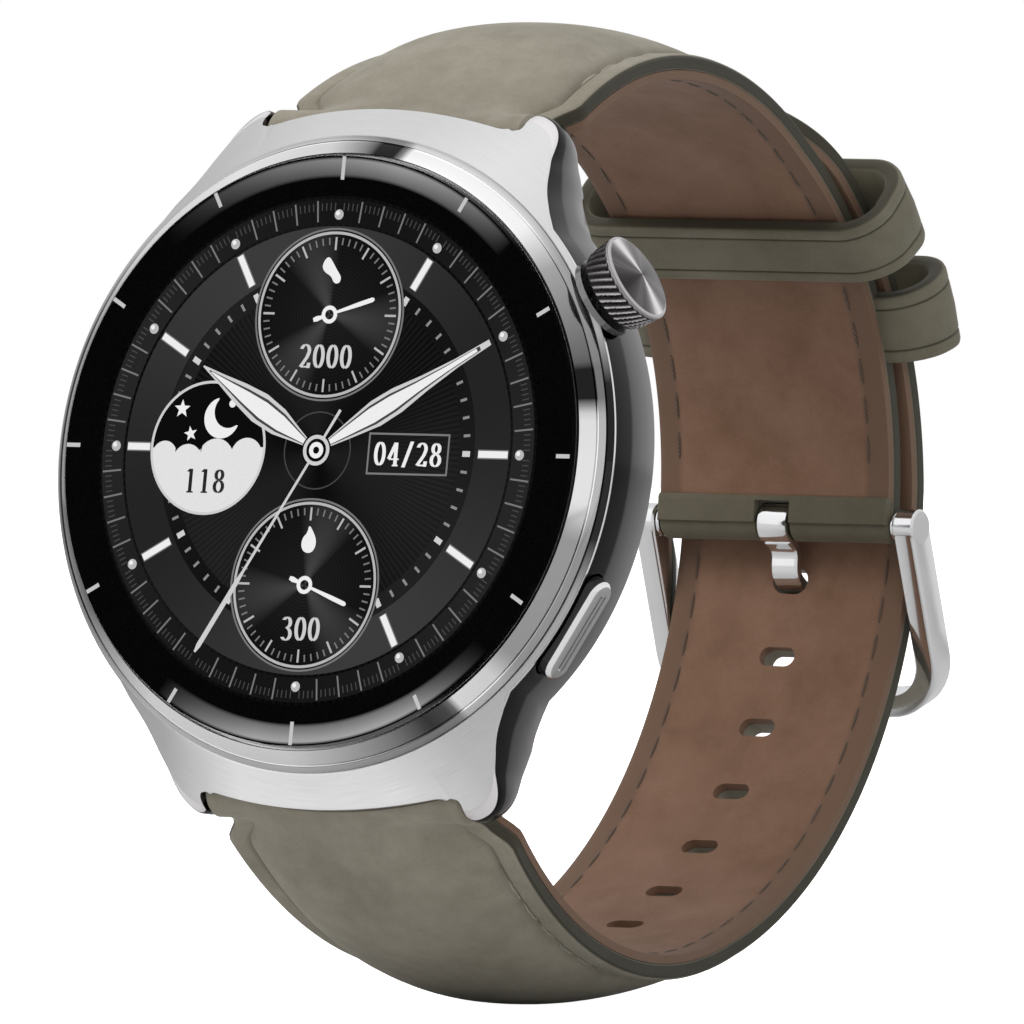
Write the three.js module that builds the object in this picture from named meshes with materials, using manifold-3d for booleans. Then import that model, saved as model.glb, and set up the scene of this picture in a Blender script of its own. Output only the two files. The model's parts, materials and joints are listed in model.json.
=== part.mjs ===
// A round smartwatch on a leather strap that is closed on its buckle. Millimetres.
//
// The watch is drawn in its own axes and then leaned back as it stands:
//   +X points at the crown side, +Y goes into the watch away from the dial, +Z points at twelve o'clock.
// The origin of the finished part is the centre of the flat charging face on the back.
import * as THREE from "three";
import { mergeVertices } from "three/addons/utils/BufferGeometryUtils.js";
import Module from "manifold-3d";

const wasm = await Module();
wasm.setup();

const DEG = Math.PI / 180;
const LEAN = 9.9 * DEG;

// ---- Driving dimensions -------------------------------------------------------------------------

// Depths along Y, counted from the picture that shows through the glass.
const GLASS_FRONT = -0.85;
const GLASS_EDGE = 0.45;
const GLASS_BACK = 0.65;
const DISPLAY_FRONT = 0.71;
const DISPLAY_BACK = 1.5;
const LEDGE = 1.2;
const BEZEL_SEAT = 2.08;
const FRAME_BACK = 9.6;
const CHARGING_FACE = 10.9;

// Radii of the case stack.
const GLASS_RADIUS = 21.65;
const GLASS_FLAT_RADIUS = 19.4;
const BEZEL_INNER = 21.75;
const BEZEL_STEP = { radius: 22.8, depth: 1.25 };
const BEZEL_OUTER = 23.25;
const BEZEL_EDGE = 1.95;
const FRAME_BORE = 20.7;
const FRAME_RADIUS = 23.6;
const FRAME_BACK_RADIUS = 21.7;
const WINDOW_RADIUS = 13.6;
const CASE_SEGMENTS = 48;

// Front edge of the mid frame, from the lip at twelve o'clock round a lug to the side: x, z and depth.
const LIP = { height: 25.55, depth: 4.5 };
const LIP_CORNER = [9.9, 24.3, 5.4];
const LUG_EDGE = [
  [10.6, 24.7, 6.2],
  [11.2, 25.3, 6.6],
  [13.2, 24.2, 6.7],
  [14.1, 22.7, 5.3],
  [14.7, 20.6, 3.9],
  [15.2, 19.0, 3.2],
];
const LUG_ROOT_ANGLE = 46 * DEG;
const SIDE_DEPTH = 2.5;
const LIP_UNDERSIDE = 5.8;
const STRAP_RECESS = { halfWidth: 11.15, z: 21.85 };

// Spring bars that hold the strap.
const BAR = { y: 8.1, z: 23.9 };
const BAR_TUBE = { radius: 0.8, bore: 0.52, halfLength: 10.2 };
const BAR_PIN = { radius: 0.42, reach: 12.4 };
const LEVER_ANGLE = 25 * DEG;

// Crown, on the radius of two o'clock.
const CROWN_ANGLE = 30 * DEG;
const CROWN_DEPTH = 3.7;
const CROWN = { inner: 25.2, face: 27.2, tip: 27.6, radius: 3.3, teeth: 36, toothDepth: 0.2 };
const STEM = { radius: 0.7, inner: 17.6, outer: 26.0 };
const CROWN_TUBE = { radius: 1.45, bore: 1.3, inner: 20.9, flange: 23.8, outer: 24.3, flangeRadius: 3.0 };

// Button, on the radius of four o'clock.
const BUTTON_ANGLE = -30 * DEG;
const BUTTON = { depth: 4.2, length: 9, width: 2.7, inner: 22.65, outer: 24.9, pocket: 22.15, gap: 0.15 };
const PLUNGER = { radius: 0.6, inner: 19.05, outer: 22.6, bore: 1.1 };

// Strap: the inner face of each half runs from its spring bar by two tangent arcs to a shared circle.
const STRAP_CIRCLE = { y: 34.8, z: 2.5, radius: 28.1 };
const STRAP_TOP_ANGLE = 58 * DEG;
const STRAP_PIN_ANGLE = 2.2 * DEG;
const STRAP_LOW_ANGLE = 8 * DEG;
const UPPER_HEADING = 45 * DEG;
const LOWER_HEADING = -44 * DEG;
const TAIL_LIFT = { pin: 3.3, tip: 2.05 };
const TAIL_REACH = 7.6;
const TAIL_TIP = 9.6;
const LINING = 0.7;
const GLUE_GAP = 0.07;
const STATION = 2.6;
const ROLL_RADIUS = 1.95;
const THICKNESS = { end: 1.9, fold: 2.45, paddedLength: 35 };
const CROWNING = { height: 2, start: 2.5, full: 10, fading: 14, flat: 36, shoulder: 0.42 };
const FOLD_LENGTH = 14;
const HALF_WIDTH = { lugs: 10.9, shoulder: 12.3, waist: 9.9 };
const SHOULDER = { start: 2.7, end: 3.5, waist: 40 };
const HOLE = { halfLength: 1.55, halfWidth: 0.8, pitch: 5.83, belowTang: 6, aboveTang: 3 };
const TANG_HOLE = { z: -0.3, halfWidth: 1.4 };

// Keepers: loops with round corners, standing off the strap on its outside.
const FLOATING_KEEPER = { angle: 46.9 * DEG, low: -1.45, high: 6.6 };
const FIXED_KEEPER = { angle: 31.2 * DEG, low: 0.8, high: 7.9 };
const KEEPER = { width: 5, thickness: 1.3, half: 13.4, corner: 3.4 };

// Buckle: a U-shaped frame that lies in a plane through its pin.
const PIN = { radius: 0.65, halfLength: 11.9, roll: 1.25 };
const FRAME_TILT = 27.5 * DEG;
const BUCKLE = { inner: 10.3, outer: 12, barFrom: 12.6, barTo: 14.8, thickness: 2.6, corner: 4.5, eye: 1.6 };
const TANG = { ringRadius: 1.5, thickness: 0.9, halfWidth: 1.15, ringHalfWidth: 1.25 };

// ---- Colours and finishes -----------------------------------------------------------------------

function finish(color, roughness, metalness) {
  return new THREE.MeshStandardMaterial({ color, roughness, metalness });
}

const FINISH = {
  brushedSteel: finish(0xc9cacc, 0.32, 1),
  polishedSteel: finish(0xd9dadd, 0.08, 1),
  darkSteel: finish(0x6d6c70, 0.3, 1),
  glass: finish(0x0a0b0d, 0.03, 0),
  display: finish(0x1b1c1f, 0.25, 0),
  plastic: finish(0x2a2b2e, 0.5, 0),
  ceramic: finish(0x18191b, 0.18, 0),
  rubber: finish(0x111213, 0.8, 0),
  board: finish(0x1d4a35, 0.5, 0),
  cell: finish(0x9ba0a6, 0.35, 0.6),
  copper: finish(0xb4703c, 0.3, 1),
  leather: finish(0x8a8373, 0.7, 0),
  lining: finish(0x7c5e4e, 0.65, 0),
};

// ---- Solids -------------------------------------------------------------------------------------

// A closed geometry as a manifold solid, turned right side out.
function solid(geometry) {
  const bare = new THREE.BufferGeometry();
  bare.setAttribute("position", geometry.getAttribute("position"));
  if (geometry.index) bare.setIndex(geometry.index);
  const merged = mergeVertices(bare, 1e-4);
  const triVerts = new Uint32Array(merged.index.array);
  const vertProperties = new Float32Array(merged.attributes.position.array);
  const made = new wasm.Manifold(new wasm.Mesh({ numProp: 3, vertProperties, triVerts }));
  if (made.volume() >= 0) return made;
  for (let i = 0; i < triVerts.length; i += 3) {
    [triVerts[i + 1], triVerts[i + 2]] = [triVerts[i + 2], triVerts[i + 1]];
  }
  return new wasm.Manifold(new wasm.Mesh({ numProp: 3, vertProperties, triVerts }));
}

function geometryOf(made) {
  const mesh = made.getMesh();
  const positions = new Float32Array(mesh.numVert * 3);
  for (let i = 0; i < mesh.numVert; i++) {
    for (let axis = 0; axis < 3; axis++) {
      positions[3 * i + axis] = mesh.vertProperties[i * mesh.numProp + axis];
    }
  }
  const geometry = new THREE.BufferGeometry();
  geometry.setAttribute("position", new THREE.BufferAttribute(positions, 3));
  geometry.setIndex(new THREE.BufferAttribute(new Uint32Array(mesh.triVerts), 1));
  geometry.computeVertexNormals();
  return geometry;
}

function join(...geometries) {
  return geometryOf(geometries.map(solid).reduce((whole, next) => whole.add(next)));
}

function cut(base, ...tools) {
  return geometryOf(tools.map(solid).reduce((whole, tool) => whole.subtract(tool), solid(base)));
}

// A turned piece about the Y axis from [radius, depth] points; it closes on itself unless it starts on the axis.
function turned(points, segments = CASE_SEGMENTS) {
  const profile = points.map(([radius, depth]) => new THREE.Vector2(radius, depth));
  if (points[0][0] > 0) profile.push(profile[0].clone());
  return new THREE.LatheGeometry(profile, segments);
}

// A rod about the Y axis between two depths.
function disc(radius, from, to, segments = 32) {
  return new THREE.CylinderGeometry(radius, radius, to - from, segments).translate(0, (from + to) / 2, 0);
}

function tube(radius, bore, from, to, segments = 32) {
  return turned([[bore, from], [radius, from], [radius, to], [bore, to]], segments);
}

// A rod along X between two places, at a depth and a height.
function rodAlongX(radius, from, to, y = 0, z = 0, segments = 24) {
  return new THREE.CylinderGeometry(radius, radius, to - from, segments)
    .rotateZ(-Math.PI / 2)
    .translate((from + to) / 2, y, z);
}

function box(x, y, z, cx = 0, cy = 0, cz = 0) {
  return new THREE.BoxGeometry(x, y, z).translate(cx, cy, cz);
}

function ringAlongX(radius, wire, x) {
  return new THREE.TorusGeometry(radius, wire, 6, 14).rotateY(Math.PI / 2).translate(x, 0, 0);
}

// A stadium outline centred on the origin, long along the first axis.
function stadium(halfLength, halfWidth) {
  const shape = new THREE.Shape();
  const straight = halfLength - halfWidth;
  shape.absarc(straight, 0, halfWidth, -Math.PI / 2, Math.PI / 2);
  shape.absarc(-straight, 0, halfWidth, Math.PI / 2, (3 * Math.PI) / 2);
  shape.closePath();
  return shape;
}

// Skins closed outlines into one body: round and round, or capped at both ends.
function loft(outlines, endless) {
  const count = outlines[0].length;
  const positions = outlines.flat().flatMap((p) => [p.x, p.y, p.z]);
  const faces = [];
  const spans = endless ? outlines.length : outlines.length - 1;
  for (let i = 0; i < spans; i++) {
    const here = i * count;
    const next = ((i + 1) % outlines.length) * count;
    for (let j = 0; j < count; j++) {
      const k = (j + 1) % count;
      faces.push(here + j, next + j, next + k, here + j, next + k, here + k);
    }
  }
  if (!endless) {
    const last = (outlines.length - 1) * count;
    for (let j = 1; j < count - 1; j++) {
      faces.push(0, j, j + 1);
      faces.push(last, last + j + 1, last + j);
    }
  }
  const geometry = new THREE.BufferGeometry();
  geometry.setAttribute("position", new THREE.Float32BufferAttribute(positions, 3));
  geometry.setIndex(faces);
  return geometry;
}

// ---- The scene graph ----------------------------------------------------------------------------

const smartwatch = new THREE.Group();
const watch = new THREE.Group();
watch.rotation.x = -LEAN;
watch.position.set(0, -CHARGING_FACE * Math.cos(LEAN), CHARGING_FACE * Math.sin(LEAN));
smartwatch.add(watch);

// Groups whose +X runs out along the crown's and the button's own radius.
const crownSide = new THREE.Group();
crownSide.rotation.y = -CROWN_ANGLE;
crownSide.position.y = CROWN_DEPTH;
watch.add(crownSide);

const buttonSide = new THREE.Group();
buttonSide.rotation.y = -BUTTON_ANGLE;
buttonSide.position.y = BUTTON.depth;
watch.add(buttonSide);

function piece(name, geometry, material, parent = watch) {
  const mesh = new THREE.Mesh(geometryOf(solid(geometry)), material.clone());
  mesh.name = name;
  parent.add(mesh);
  return mesh;
}

// A tool drawn along a side group's +X, carried into the watch's axes.
function onRadius(geometry, angle, depth) {
  return geometry.rotateY(-angle).translate(0, depth, 0);
}

// ---- Case ---------------------------------------------------------------------------------------

const lerp = THREE.MathUtils.lerp;

// Front edge of the mid frame over one quarter, from twelve o'clock to three o'clock, as (x, z, depth).
function quarterEdge() {
  const points = [];
  const lipSteps = 4;
  for (let i = 0; i < lipSteps; i++) {
    const t = i / lipSteps;
    const height = lerp(LIP.height, LIP_CORNER[1], t * t);
    points.push(new THREE.Vector3(LIP_CORNER[0] * t, height, lerp(LIP.depth, LIP_CORNER[2], t * t)));
  }
  for (const corner of [LIP_CORNER, ...LUG_EDGE]) points.push(new THREE.Vector3(...corner));
  const sideSteps = 7;
  for (let i = 0; i <= sideSteps; i++) {
    const angle = LUG_ROOT_ANGLE * (1 - i / sideSteps);
    points.push(new THREE.Vector3(FRAME_RADIUS * Math.cos(angle), FRAME_RADIUS * Math.sin(angle), SIDE_DEPTH));
  }
  return points;
}

function fullEdge() {
  const quarter = quarterEdge();
  const lower = [...quarter].reverse().slice(1);
  const right = [...quarter, ...lower.map((p) => new THREE.Vector3(p.x, -p.y, p.z))];
  const left = [...right].reverse().slice(1, -1).map((p) => new THREE.Vector3(-p.x, p.y, p.z));
  return [...right, ...left];
}

// Section through the mid frame's wall under one point of its front edge.
function frameSection(edge) {
  const reach = Math.hypot(edge.x, edge.y);
  const across = edge.x / reach;
  const up = edge.y / reach;
  const lug = THREE.MathUtils.clamp((reach - FRAME_RADIUS) / 1.5, 0, 1);
  const rimDepth = lerp(BEZEL_SEAT + 0.1, BEZEL_EDGE - 0.4, lug);
  const chamfer = 0.7 * THREE.MathUtils.clamp((edge.z - 5.4) / 1.2, 0, 1);
  const section = [
    [FRAME_BORE, LEDGE],
    [BEZEL_INNER - 0.05, LEDGE],
    [BEZEL_INNER - 0.05, BEZEL_SEAT],
    [BEZEL_OUTER + 0.06, BEZEL_SEAT],
    [BEZEL_OUTER + 0.12, rimDepth],
    [reach, edge.z],
    [reach + chamfer, edge.z + 0.25 + chamfer],
    [reach + 0.8 * chamfer, lerp(8.2, 9.2, lug)],
    [reach - lerp(1.1, 0.2, lug), FRAME_BACK - lerp(0.5, 0.05, lug)],
    [FRAME_BACK_RADIUS, FRAME_BACK],
    [FRAME_BORE, FRAME_BACK],
  ];
  return section.map(([radius, depth]) => new THREE.Vector3(across * radius, depth, up * radius));
}

function midFrame() {
  const body = loft(fullEdge().map(frameSection), true);
  const tools = [];
  for (const end of [1, -1]) {
    const recess = box(2 * STRAP_RECESS.halfWidth, 10, 10, 0, LIP_UNDERSIDE + 5, end * (STRAP_RECESS.z + 5));
    tools.push(recess);
    for (const side of [1, -1]) {
      const from = side * (STRAP_RECESS.halfWidth - 1);
      const to = side * (BAR_PIN.reach + 0.4);
      const hole = rodAlongX(0.55, Math.min(from, to), Math.max(from, to), BAR.y, end * BAR.z, 16);
      tools.push(hole);
    }
  }
  tools.push(onRadius(rodAlongX(CROWN_TUBE.radius + 0.05, 19, 27), CROWN_ANGLE, CROWN_DEPTH));
  const pocket = buttonBody(BUTTON.pocket, 27, BUTTON.gap, 0);
  tools.push(onRadius(pocket, BUTTON_ANGLE, BUTTON.depth));
  tools.push(onRadius(rodAlongX(PLUNGER.bore, 19, 24), BUTTON_ANGLE, BUTTON.depth));
  piece("mid_frame", cut(body, ...tools), FINISH.brushedSteel);
}

// A stadium block along X: long around the case, narrow through its depth.
function buttonBody(from, to, grow, chamfer) {
  const outline = stadium(BUTTON.length / 2 + grow - chamfer, BUTTON.width / 2 + grow - chamfer);
  return new THREE.ExtrudeGeometry(outline, {
    depth: to - from - 2 * chamfer,
    bevelEnabled: chamfer > 0,
    bevelSize: chamfer,
    bevelThickness: chamfer,
    bevelSegments: 1,
    curveSegments: 8,
  })
    .rotateY(Math.PI / 2)
    .rotateX(Math.PI / 2)
    .rotateX(Math.PI / 2)
    .translate(from + chamfer, 0, 0);
}

function bezelRing() {
  const profile = [
    [BEZEL_INNER, BEZEL_STEP.depth - 0.6],
    [BEZEL_STEP.radius, BEZEL_STEP.depth],
    [BEZEL_OUTER, BEZEL_EDGE],
    [BEZEL_OUTER - 0.1, BEZEL_SEAT - 0.05],
    [BEZEL_INNER, BEZEL_SEAT - 0.05],
  ];
  piece("bezel_ring", turned(profile), FINISH.polishedSteel);
}

function coverGlass() {
  const profile = [[0, GLASS_BACK], [GLASS_RADIUS, GLASS_BACK], [GLASS_RADIUS, GLASS_EDGE]];
  const steps = 4;
  for (let i = 1; i <= steps; i++) {
    const angle = (i / steps) * (Math.PI / 2);
    profile.push([
      lerp(GLASS_FLAT_RADIUS, GLASS_RADIUS, Math.cos(angle)),
      lerp(GLASS_EDGE, GLASS_FRONT, Math.sin(angle)),
    ]);
  }
  profile.push([0, GLASS_FRONT]);
  piece("cover_glass", turned(profile), FINISH.glass);
  piece("glass_seal", tube(21.5, 21.0, 0.71, 1.14, 48), FINISH.rubber);
  piece("display_panel", disc(20.5, DISPLAY_FRONT, DISPLAY_BACK, CASE_SEGMENTS), FINISH.display);
}

// ---- Inside -------------------------------------------------------------------------------------

const SCREW_CIRCLE = 17.2;
const SCREW_ANGLES = [45, 135, 225, 315].map((a) => a * DEG);
const CHASSIS = { radius: 20.4, wall: 1.1, top: 1.6, floor: 2.15, back: 8.9 };
const BOARD = { radius: 17.7, front: 2.22, back: 2.8 };

function screwPlace(geometry, angle) {
  return geometry.translate(SCREW_CIRCLE * Math.cos(angle), 0, SCREW_CIRCLE * Math.sin(angle));
}

function innerChassis() {
  const wallInner = CHASSIS.radius - CHASSIS.wall;
  const shell = turned(
    [
      [0, CHASSIS.top],
      [CHASSIS.radius, CHASSIS.top],
      [CHASSIS.radius, CHASSIS.back],
      [wallInner, CHASSIS.back],
      [wallInner, CHASSIS.floor],
      [0, CHASSIS.floor],
    ],
    48,
  );
  const bosses = SCREW_ANGLES.map((a) => screwPlace(disc(1.6, CHASSIS.floor - 0.2, CHASSIS.back, 16), a));
  const bores = SCREW_ANGLES.map((a) => screwPlace(disc(0.7, 6.2, 9, 12), a));
  const crownPort = onRadius(rodAlongX(1.1, 18, 22, 0, 0, 16), CROWN_ANGLE, CROWN_DEPTH);
  const buttonPort = onRadius(rodAlongX(1.0, 18, 22, 0, 0, 16), BUTTON_ANGLE, BUTTON.depth);
  const whole = join(shell, ...bosses);
  piece("inner_chassis", cut(whole, ...bores, crownPort, buttonPort), FINISH.plastic);
}

function electronics() {
  const notches = SCREW_ANGLES.map((a) => screwPlace(disc(1.9, BOARD.front - 1, BOARD.back + 1, 16), a));
  piece("main_board", cut(disc(BOARD.radius, BOARD.front, BOARD.back, 48), ...notches), FINISH.board);
  piece("battery", disc(12.2, 3.2, 7.2, 40), FINISH.cell);
  piece("vibration_motor", disc(3.2, 3.0, 5.8, 24).translate(-15.7, 0, 0), FINISH.darkSteel);
  piece("speaker_module", box(10, 3.2, 4, 0, 4.8, -15.2), FINISH.plastic);
  piece("microphone", box(3.6, 1.1, 2.8, 0, 3.6, 16), FINISH.cell);
  const emitter = disc(1.3, 8.5, 9.7, 16);
  const receivers = [0, 1, 2, 3].map((i) => box(2.2, 1.2, 2.2, 4.2, 9, 0).rotateY((i * Math.PI) / 2));
  const board = disc(11.6, 7.6, 8.5, 40);
  piece("heart_rate_sensor", join(board, emitter, ...receivers), FINISH.board);
  piece("charging_coil", tube(11.2, 7, 8.6, 9.4, 40), FINISH.copper);
}

function back() {
  const cover = turned([
    [12.6, 9.3],
    [20.4, 9.3],
    [20.4, 9.86],
    [21.65, 9.86],
    [21.65, 10.05],
    [20.9, 10.3],
    [18.6, 10.5],
    [WINDOW_RADIUS + 0.1, 10.72],
    [WINDOW_RADIUS + 0.1, 9.95],
    [12.6, 9.95],
  ]);
  const holes = SCREW_ANGLES.flatMap((a) => [
    screwPlace(disc(0.75, 8.5, 11, 12), a),
    screwPlace(disc(1.25, 10.05, 11.4, 12), a),
  ]);
  piece("rear_cover", cut(cover, ...holes), FINISH.ceramic);
  const window = turned([
    [0, 10],
    [WINDOW_RADIUS, 10],
    [WINDOW_RADIUS, 10.6],
    [WINDOW_RADIUS - 0.4, CHARGING_FACE],
    [0, CHARGING_FACE],
  ]);
  piece("sensor_window", window, FINISH.glass);
  piece("rear_seal", tube(21.4, 20.85, 9.65, 9.82, 48), FINISH.rubber);
  SCREW_ANGLES.forEach((angle, i) => {
    const head = disc(1.15, 10.1, 10.5, 16);
    const shank = disc(0.6, 6.6, 10.2, 12);
    const slots = [box(1.5, 0.5, 0.32, 0, 10.5, 0), box(0.32, 0.5, 1.5, 0, 10.5, 0)];
    piece("rear_screw_" + (i + 1), screwPlace(cut(join(head, shank), ...slots), angle), FINISH.darkSteel);
  });
}

// ---- Crown and button ---------------------------------------------------------------------------

function crown() {
  const rim = new THREE.Shape();
  for (let i = 0; i < 2 * CROWN.teeth; i++) {
    const angle = (i * Math.PI) / CROWN.teeth;
    const radius = CROWN.radius + (i % 2 ? CROWN.toothDepth : 0);
    const corner = [radius * Math.cos(angle), radius * Math.sin(angle)];
    if (i) rim.lineTo(...corner);
    else rim.moveTo(...corner);
  }
  const length = CROWN.face - CROWN.inner;
  const barrel = new THREE.ExtrudeGeometry(rim, { depth: length, bevelEnabled: false })
    .rotateY(Math.PI / 2)
    .translate(CROWN.inner, 0, 0);
  const face = new THREE.CylinderGeometry(CROWN.radius - 0.3, CROWN.radius, 0.5, 36)
    .rotateZ(-Math.PI / 2)
    .translate(CROWN.tip - 0.25, 0, 0);
  const neck = rodAlongX(2.2, CROWN.inner - 0.4, CROWN.inner + 0.5);
  const bore = rodAlongX(STEM.radius + 0.08, CROWN.inner - 1, STEM.outer + 0.15, 0, 0, 20);
  piece("crown_cap", cut(join(barrel, face, neck), bore), FINISH.darkSteel, crownSide);
  const shoulder = rodAlongX(1.2, 18.85, 19.15, 0, 0, 20);
  piece("crown_stem", join(rodAlongX(STEM.radius, STEM.inner, STEM.outer, 0, 0, 20), shoulder), FINISH.polishedSteel, crownSide);
  piece("crown_o_ring", ringAlongX(1.0, 0.26, 22.4), FINISH.rubber, crownSide);
  const plate = turned([[0.8, 0], [1.45, 0], [1.45, 0.4], [0.8, 0.4]], 20).rotateZ(-Math.PI / 2).translate(18.35, 0, 0);
  piece("crown_slide_plate", plate, FINISH.polishedSteel, crownSide);
  const collar = turned(
    [
      [CROWN_TUBE.bore, CROWN_TUBE.inner],
      [CROWN_TUBE.radius, CROWN_TUBE.inner],
      [CROWN_TUBE.radius, CROWN_TUBE.flange],
      [CROWN_TUBE.flangeRadius, CROWN_TUBE.flange],
      [CROWN_TUBE.flangeRadius, CROWN_TUBE.outer],
      [CROWN_TUBE.bore, CROWN_TUBE.outer],
    ],
    32,
  ).rotateZ(-Math.PI / 2);
  piece("crown_tube", collar, FINISH.darkSteel, crownSide);
  piece("crown_encoder", box(3.4, 2.2, 4, 15.2, 0.35, 0), FINISH.plastic, crownSide);
}

function button() {
  const cap = buttonBody(BUTTON.inner, BUTTON.outer, 0, 0.25);
  piece("button_cap", cap, FINISH.polishedSteel, buttonSide);
  const foot = rodAlongX(0.9, PLUNGER.inner, PLUNGER.inner + 0.3, 0, 0, 16);
  const plunger = join(rodAlongX(PLUNGER.radius, PLUNGER.inner, PLUNGER.outer, 0, 0, 16), foot);
  piece("button_plunger", plunger, FINISH.polishedSteel, buttonSide);
  piece("button_seal", ringAlongX(0.86, 0.22, 21.5), FINISH.rubber, buttonSide);
  piece("button_switch", box(2.4, 2, 3.6, 17.35, 0.2, 0), FINISH.plastic, buttonSide);
}

// ---- Strap paths --------------------------------------------------------------------------------

// One arc of the strap in the Y-Z plane, leaving a point along a direction and ending at another point.
function arcPoints(from, heading, to, steps) {
  const chord = to.clone().sub(from);
  const normal = new THREE.Vector2(-heading.y, heading.x);
  const radius = chord.lengthSq() / (2 * chord.dot(normal));
  const centre = from.clone().addScaledVector(normal, radius);
  const start = Math.atan2(from.y - centre.y, from.x - centre.x);
  const half = Math.asin(Math.min(1, chord.length() / (2 * Math.abs(radius))));
  const sweep = 2 * half * Math.sign(radius);
  const points = [];
  for (let i = 0; i <= steps; i++) {
    const angle = start + (sweep * i) / steps;
    points.push(
      new THREE.Vector2(
        centre.x + Math.abs(radius) * Math.cos(angle),
        centre.y + Math.abs(radius) * Math.sin(angle),
      ),
    );
  }
  return points;
}

// Two tangent arcs between two points with given directions.
function biarcPoints(from, heading, to, arrival, steps) {
  const span = to.clone().sub(from);
  const sum = heading.clone().add(arrival);
  const along = span.dot(sum);
  const spread = 2 * (1 - heading.dot(arrival));
  const reach = (-along + Math.sqrt(along * along + spread * span.lengthSq())) / spread;
  const middle = from.clone().add(to).addScaledVector(heading, reach).addScaledVector(arrival, -reach);
  middle.multiplyScalar(0.5);
  const first = arcPoints(from, heading, middle, steps);
  const second = arcPoints(to, arrival.clone().negate(), middle, steps).reverse();
  return [...first, ...second.slice(1)];
}

function onStrapCircle(radius, angle) {
  return new THREE.Vector2(
    STRAP_CIRCLE.y + radius * Math.cos(angle),
    STRAP_CIRCLE.z + radius * Math.sin(angle),
  );
}

function circlePoints(radius, from, to, steps) {
  const points = [];
  for (let i = 1; i <= steps; i++) points.push(onStrapCircle(radius, lerp(from, to, i / steps)));
  return points;
}

// A walk along a polyline with lengths and outward normals; outward is away from the wrist.
class Path {
  constructor(points, outwardSign) {
    this.points = points;
    this.lengths = [0];
    for (let i = 1; i < points.length; i++) {
      this.lengths.push(this.lengths[i - 1] + points[i].distanceTo(points[i - 1]));
    }
    this.length = this.lengths[this.lengths.length - 1];
    this.normals = points.map((_, i) => {
      const before = points[Math.max(0, i - 1)];
      const after = points[Math.min(points.length - 1, i + 1)];
      const along = after.clone().sub(before).normalize();
      return new THREE.Vector2(-along.y * outwardSign, along.x * outwardSign);
    });
  }

  at(distance) {
    let i = 1;
    while (i < this.points.length - 1 && this.lengths[i] < distance) i++;
    const t = (distance - this.lengths[i - 1]) / (this.lengths[i] - this.lengths[i - 1]);
    return {
      point: this.points[i - 1].clone().lerp(this.points[i], t),
      normal: this.normals[i - 1].clone().lerp(this.normals[i], t).normalize(),
    };
  }

  // The distance at which the path, on its way up behind the wrist, passes a height.
  distanceAtHeight(z) {
    const i = this.points.findIndex((p, k) => k > 0 && p.y >= z && this.points[k - 1].y < z);
    const t = (z - this.points[i - 1].y) / (this.points[i].y - this.points[i - 1].y);
    return lerp(this.lengths[i - 1], this.lengths[i], t);
  }
}

function upperPath() {
  const heading = new THREE.Vector2(Math.cos(UPPER_HEADING), Math.sin(UPPER_HEADING));
  const outward = new THREE.Vector2(-heading.y, heading.x);
  const start = new THREE.Vector2(BAR.y, BAR.z).addScaledVector(outward, -ROLL_RADIUS);
  const { radius } = STRAP_CIRCLE;
  const join = onStrapCircle(radius, STRAP_TOP_ANGLE);
  const arrival = new THREE.Vector2(Math.sin(STRAP_TOP_ANGLE), -Math.cos(STRAP_TOP_ANGLE));
  const arcs = biarcPoints(start, heading, join, arrival, 10);
  return new Path([...arcs, ...circlePoints(radius, STRAP_TOP_ANGLE, STRAP_PIN_ANGLE, 14)], 1);
}

// The lower half ends as the tail, which lies over the outside of the upper half.
function lowerPath(upper) {
  const heading = new THREE.Vector2(Math.cos(LOWER_HEADING), Math.sin(LOWER_HEADING));
  const outward = new THREE.Vector2(heading.y, -heading.x);
  const start = new THREE.Vector2(BAR.y, -BAR.z).addScaledVector(outward, -ROLL_RADIUS);
  const radius = STRAP_CIRCLE.radius + TAIL_LIFT.pin;
  const join = onStrapCircle(radius, STRAP_LOW_ANGLE);
  const arrival = new THREE.Vector2(-Math.sin(STRAP_LOW_ANGLE), Math.cos(STRAP_LOW_ANGLE));
  const arcs = biarcPoints(start, heading, join, arrival, 14);
  const over = [];
  const overSteps = 12;
  for (let i = 1; i <= overSteps; i++) {
    const lift = lerp(TAIL_LIFT.pin, TAIL_LIFT.tip, i / overSteps);
    const angle = lerp(STRAP_LOW_ANGLE, STRAP_TOP_ANGLE, i / overSteps);
    over.push(onStrapCircle(STRAP_CIRCLE.radius + lift, angle));
  }
  const tail = [];
  const tailSteps = 6;
  const from = upper.length - STRAP_CIRCLE.radius * (STRAP_TOP_ANGLE - STRAP_PIN_ANGLE);
  for (let i = 1; i <= tailSteps; i++) {
    const here = upper.at(lerp(from, from - TAIL_REACH, i / tailSteps));
    tail.push(here.point.addScaledVector(here.normal, TAIL_LIFT.tip));
  }
  return new Path([...arcs, ...over, ...tail], -1);
}

// ---- Strap --------------------------------------------------------------------------------------

// Carries an outline of [x, height] corners along a path; the outline may change on the way.
// Every layer has its sections at the same stations, so that layers over one path stay parallel.
function sweep(path, from, to, station, outlineAt) {
  const distances = [from];
  for (let i = Math.ceil((from + 0.1) / station); i * station < to - 0.1; i++) distances.push(i * station);
  distances.push(to);
  const outlines = distances.map((distance) => {
    const { point, normal } = path.at(distance);
    return outlineAt(distance).map(([x, height]) => {
      const place = point.clone().addScaledVector(normal, height);
      return new THREE.Vector3(x, place.x, place.y);
    });
  });
  return loft(outlines, false);
}

// The middle of the outer face rises over padding, which fades out along the strap.
function crowningAt(distance) {
  const rise = smooth(distance, CROWNING.start, CROWNING.full);
  const fall = 1 - smooth(distance, CROWNING.fading, CROWNING.flat);
  return CROWNING.height * rise * fall;
}

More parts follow.
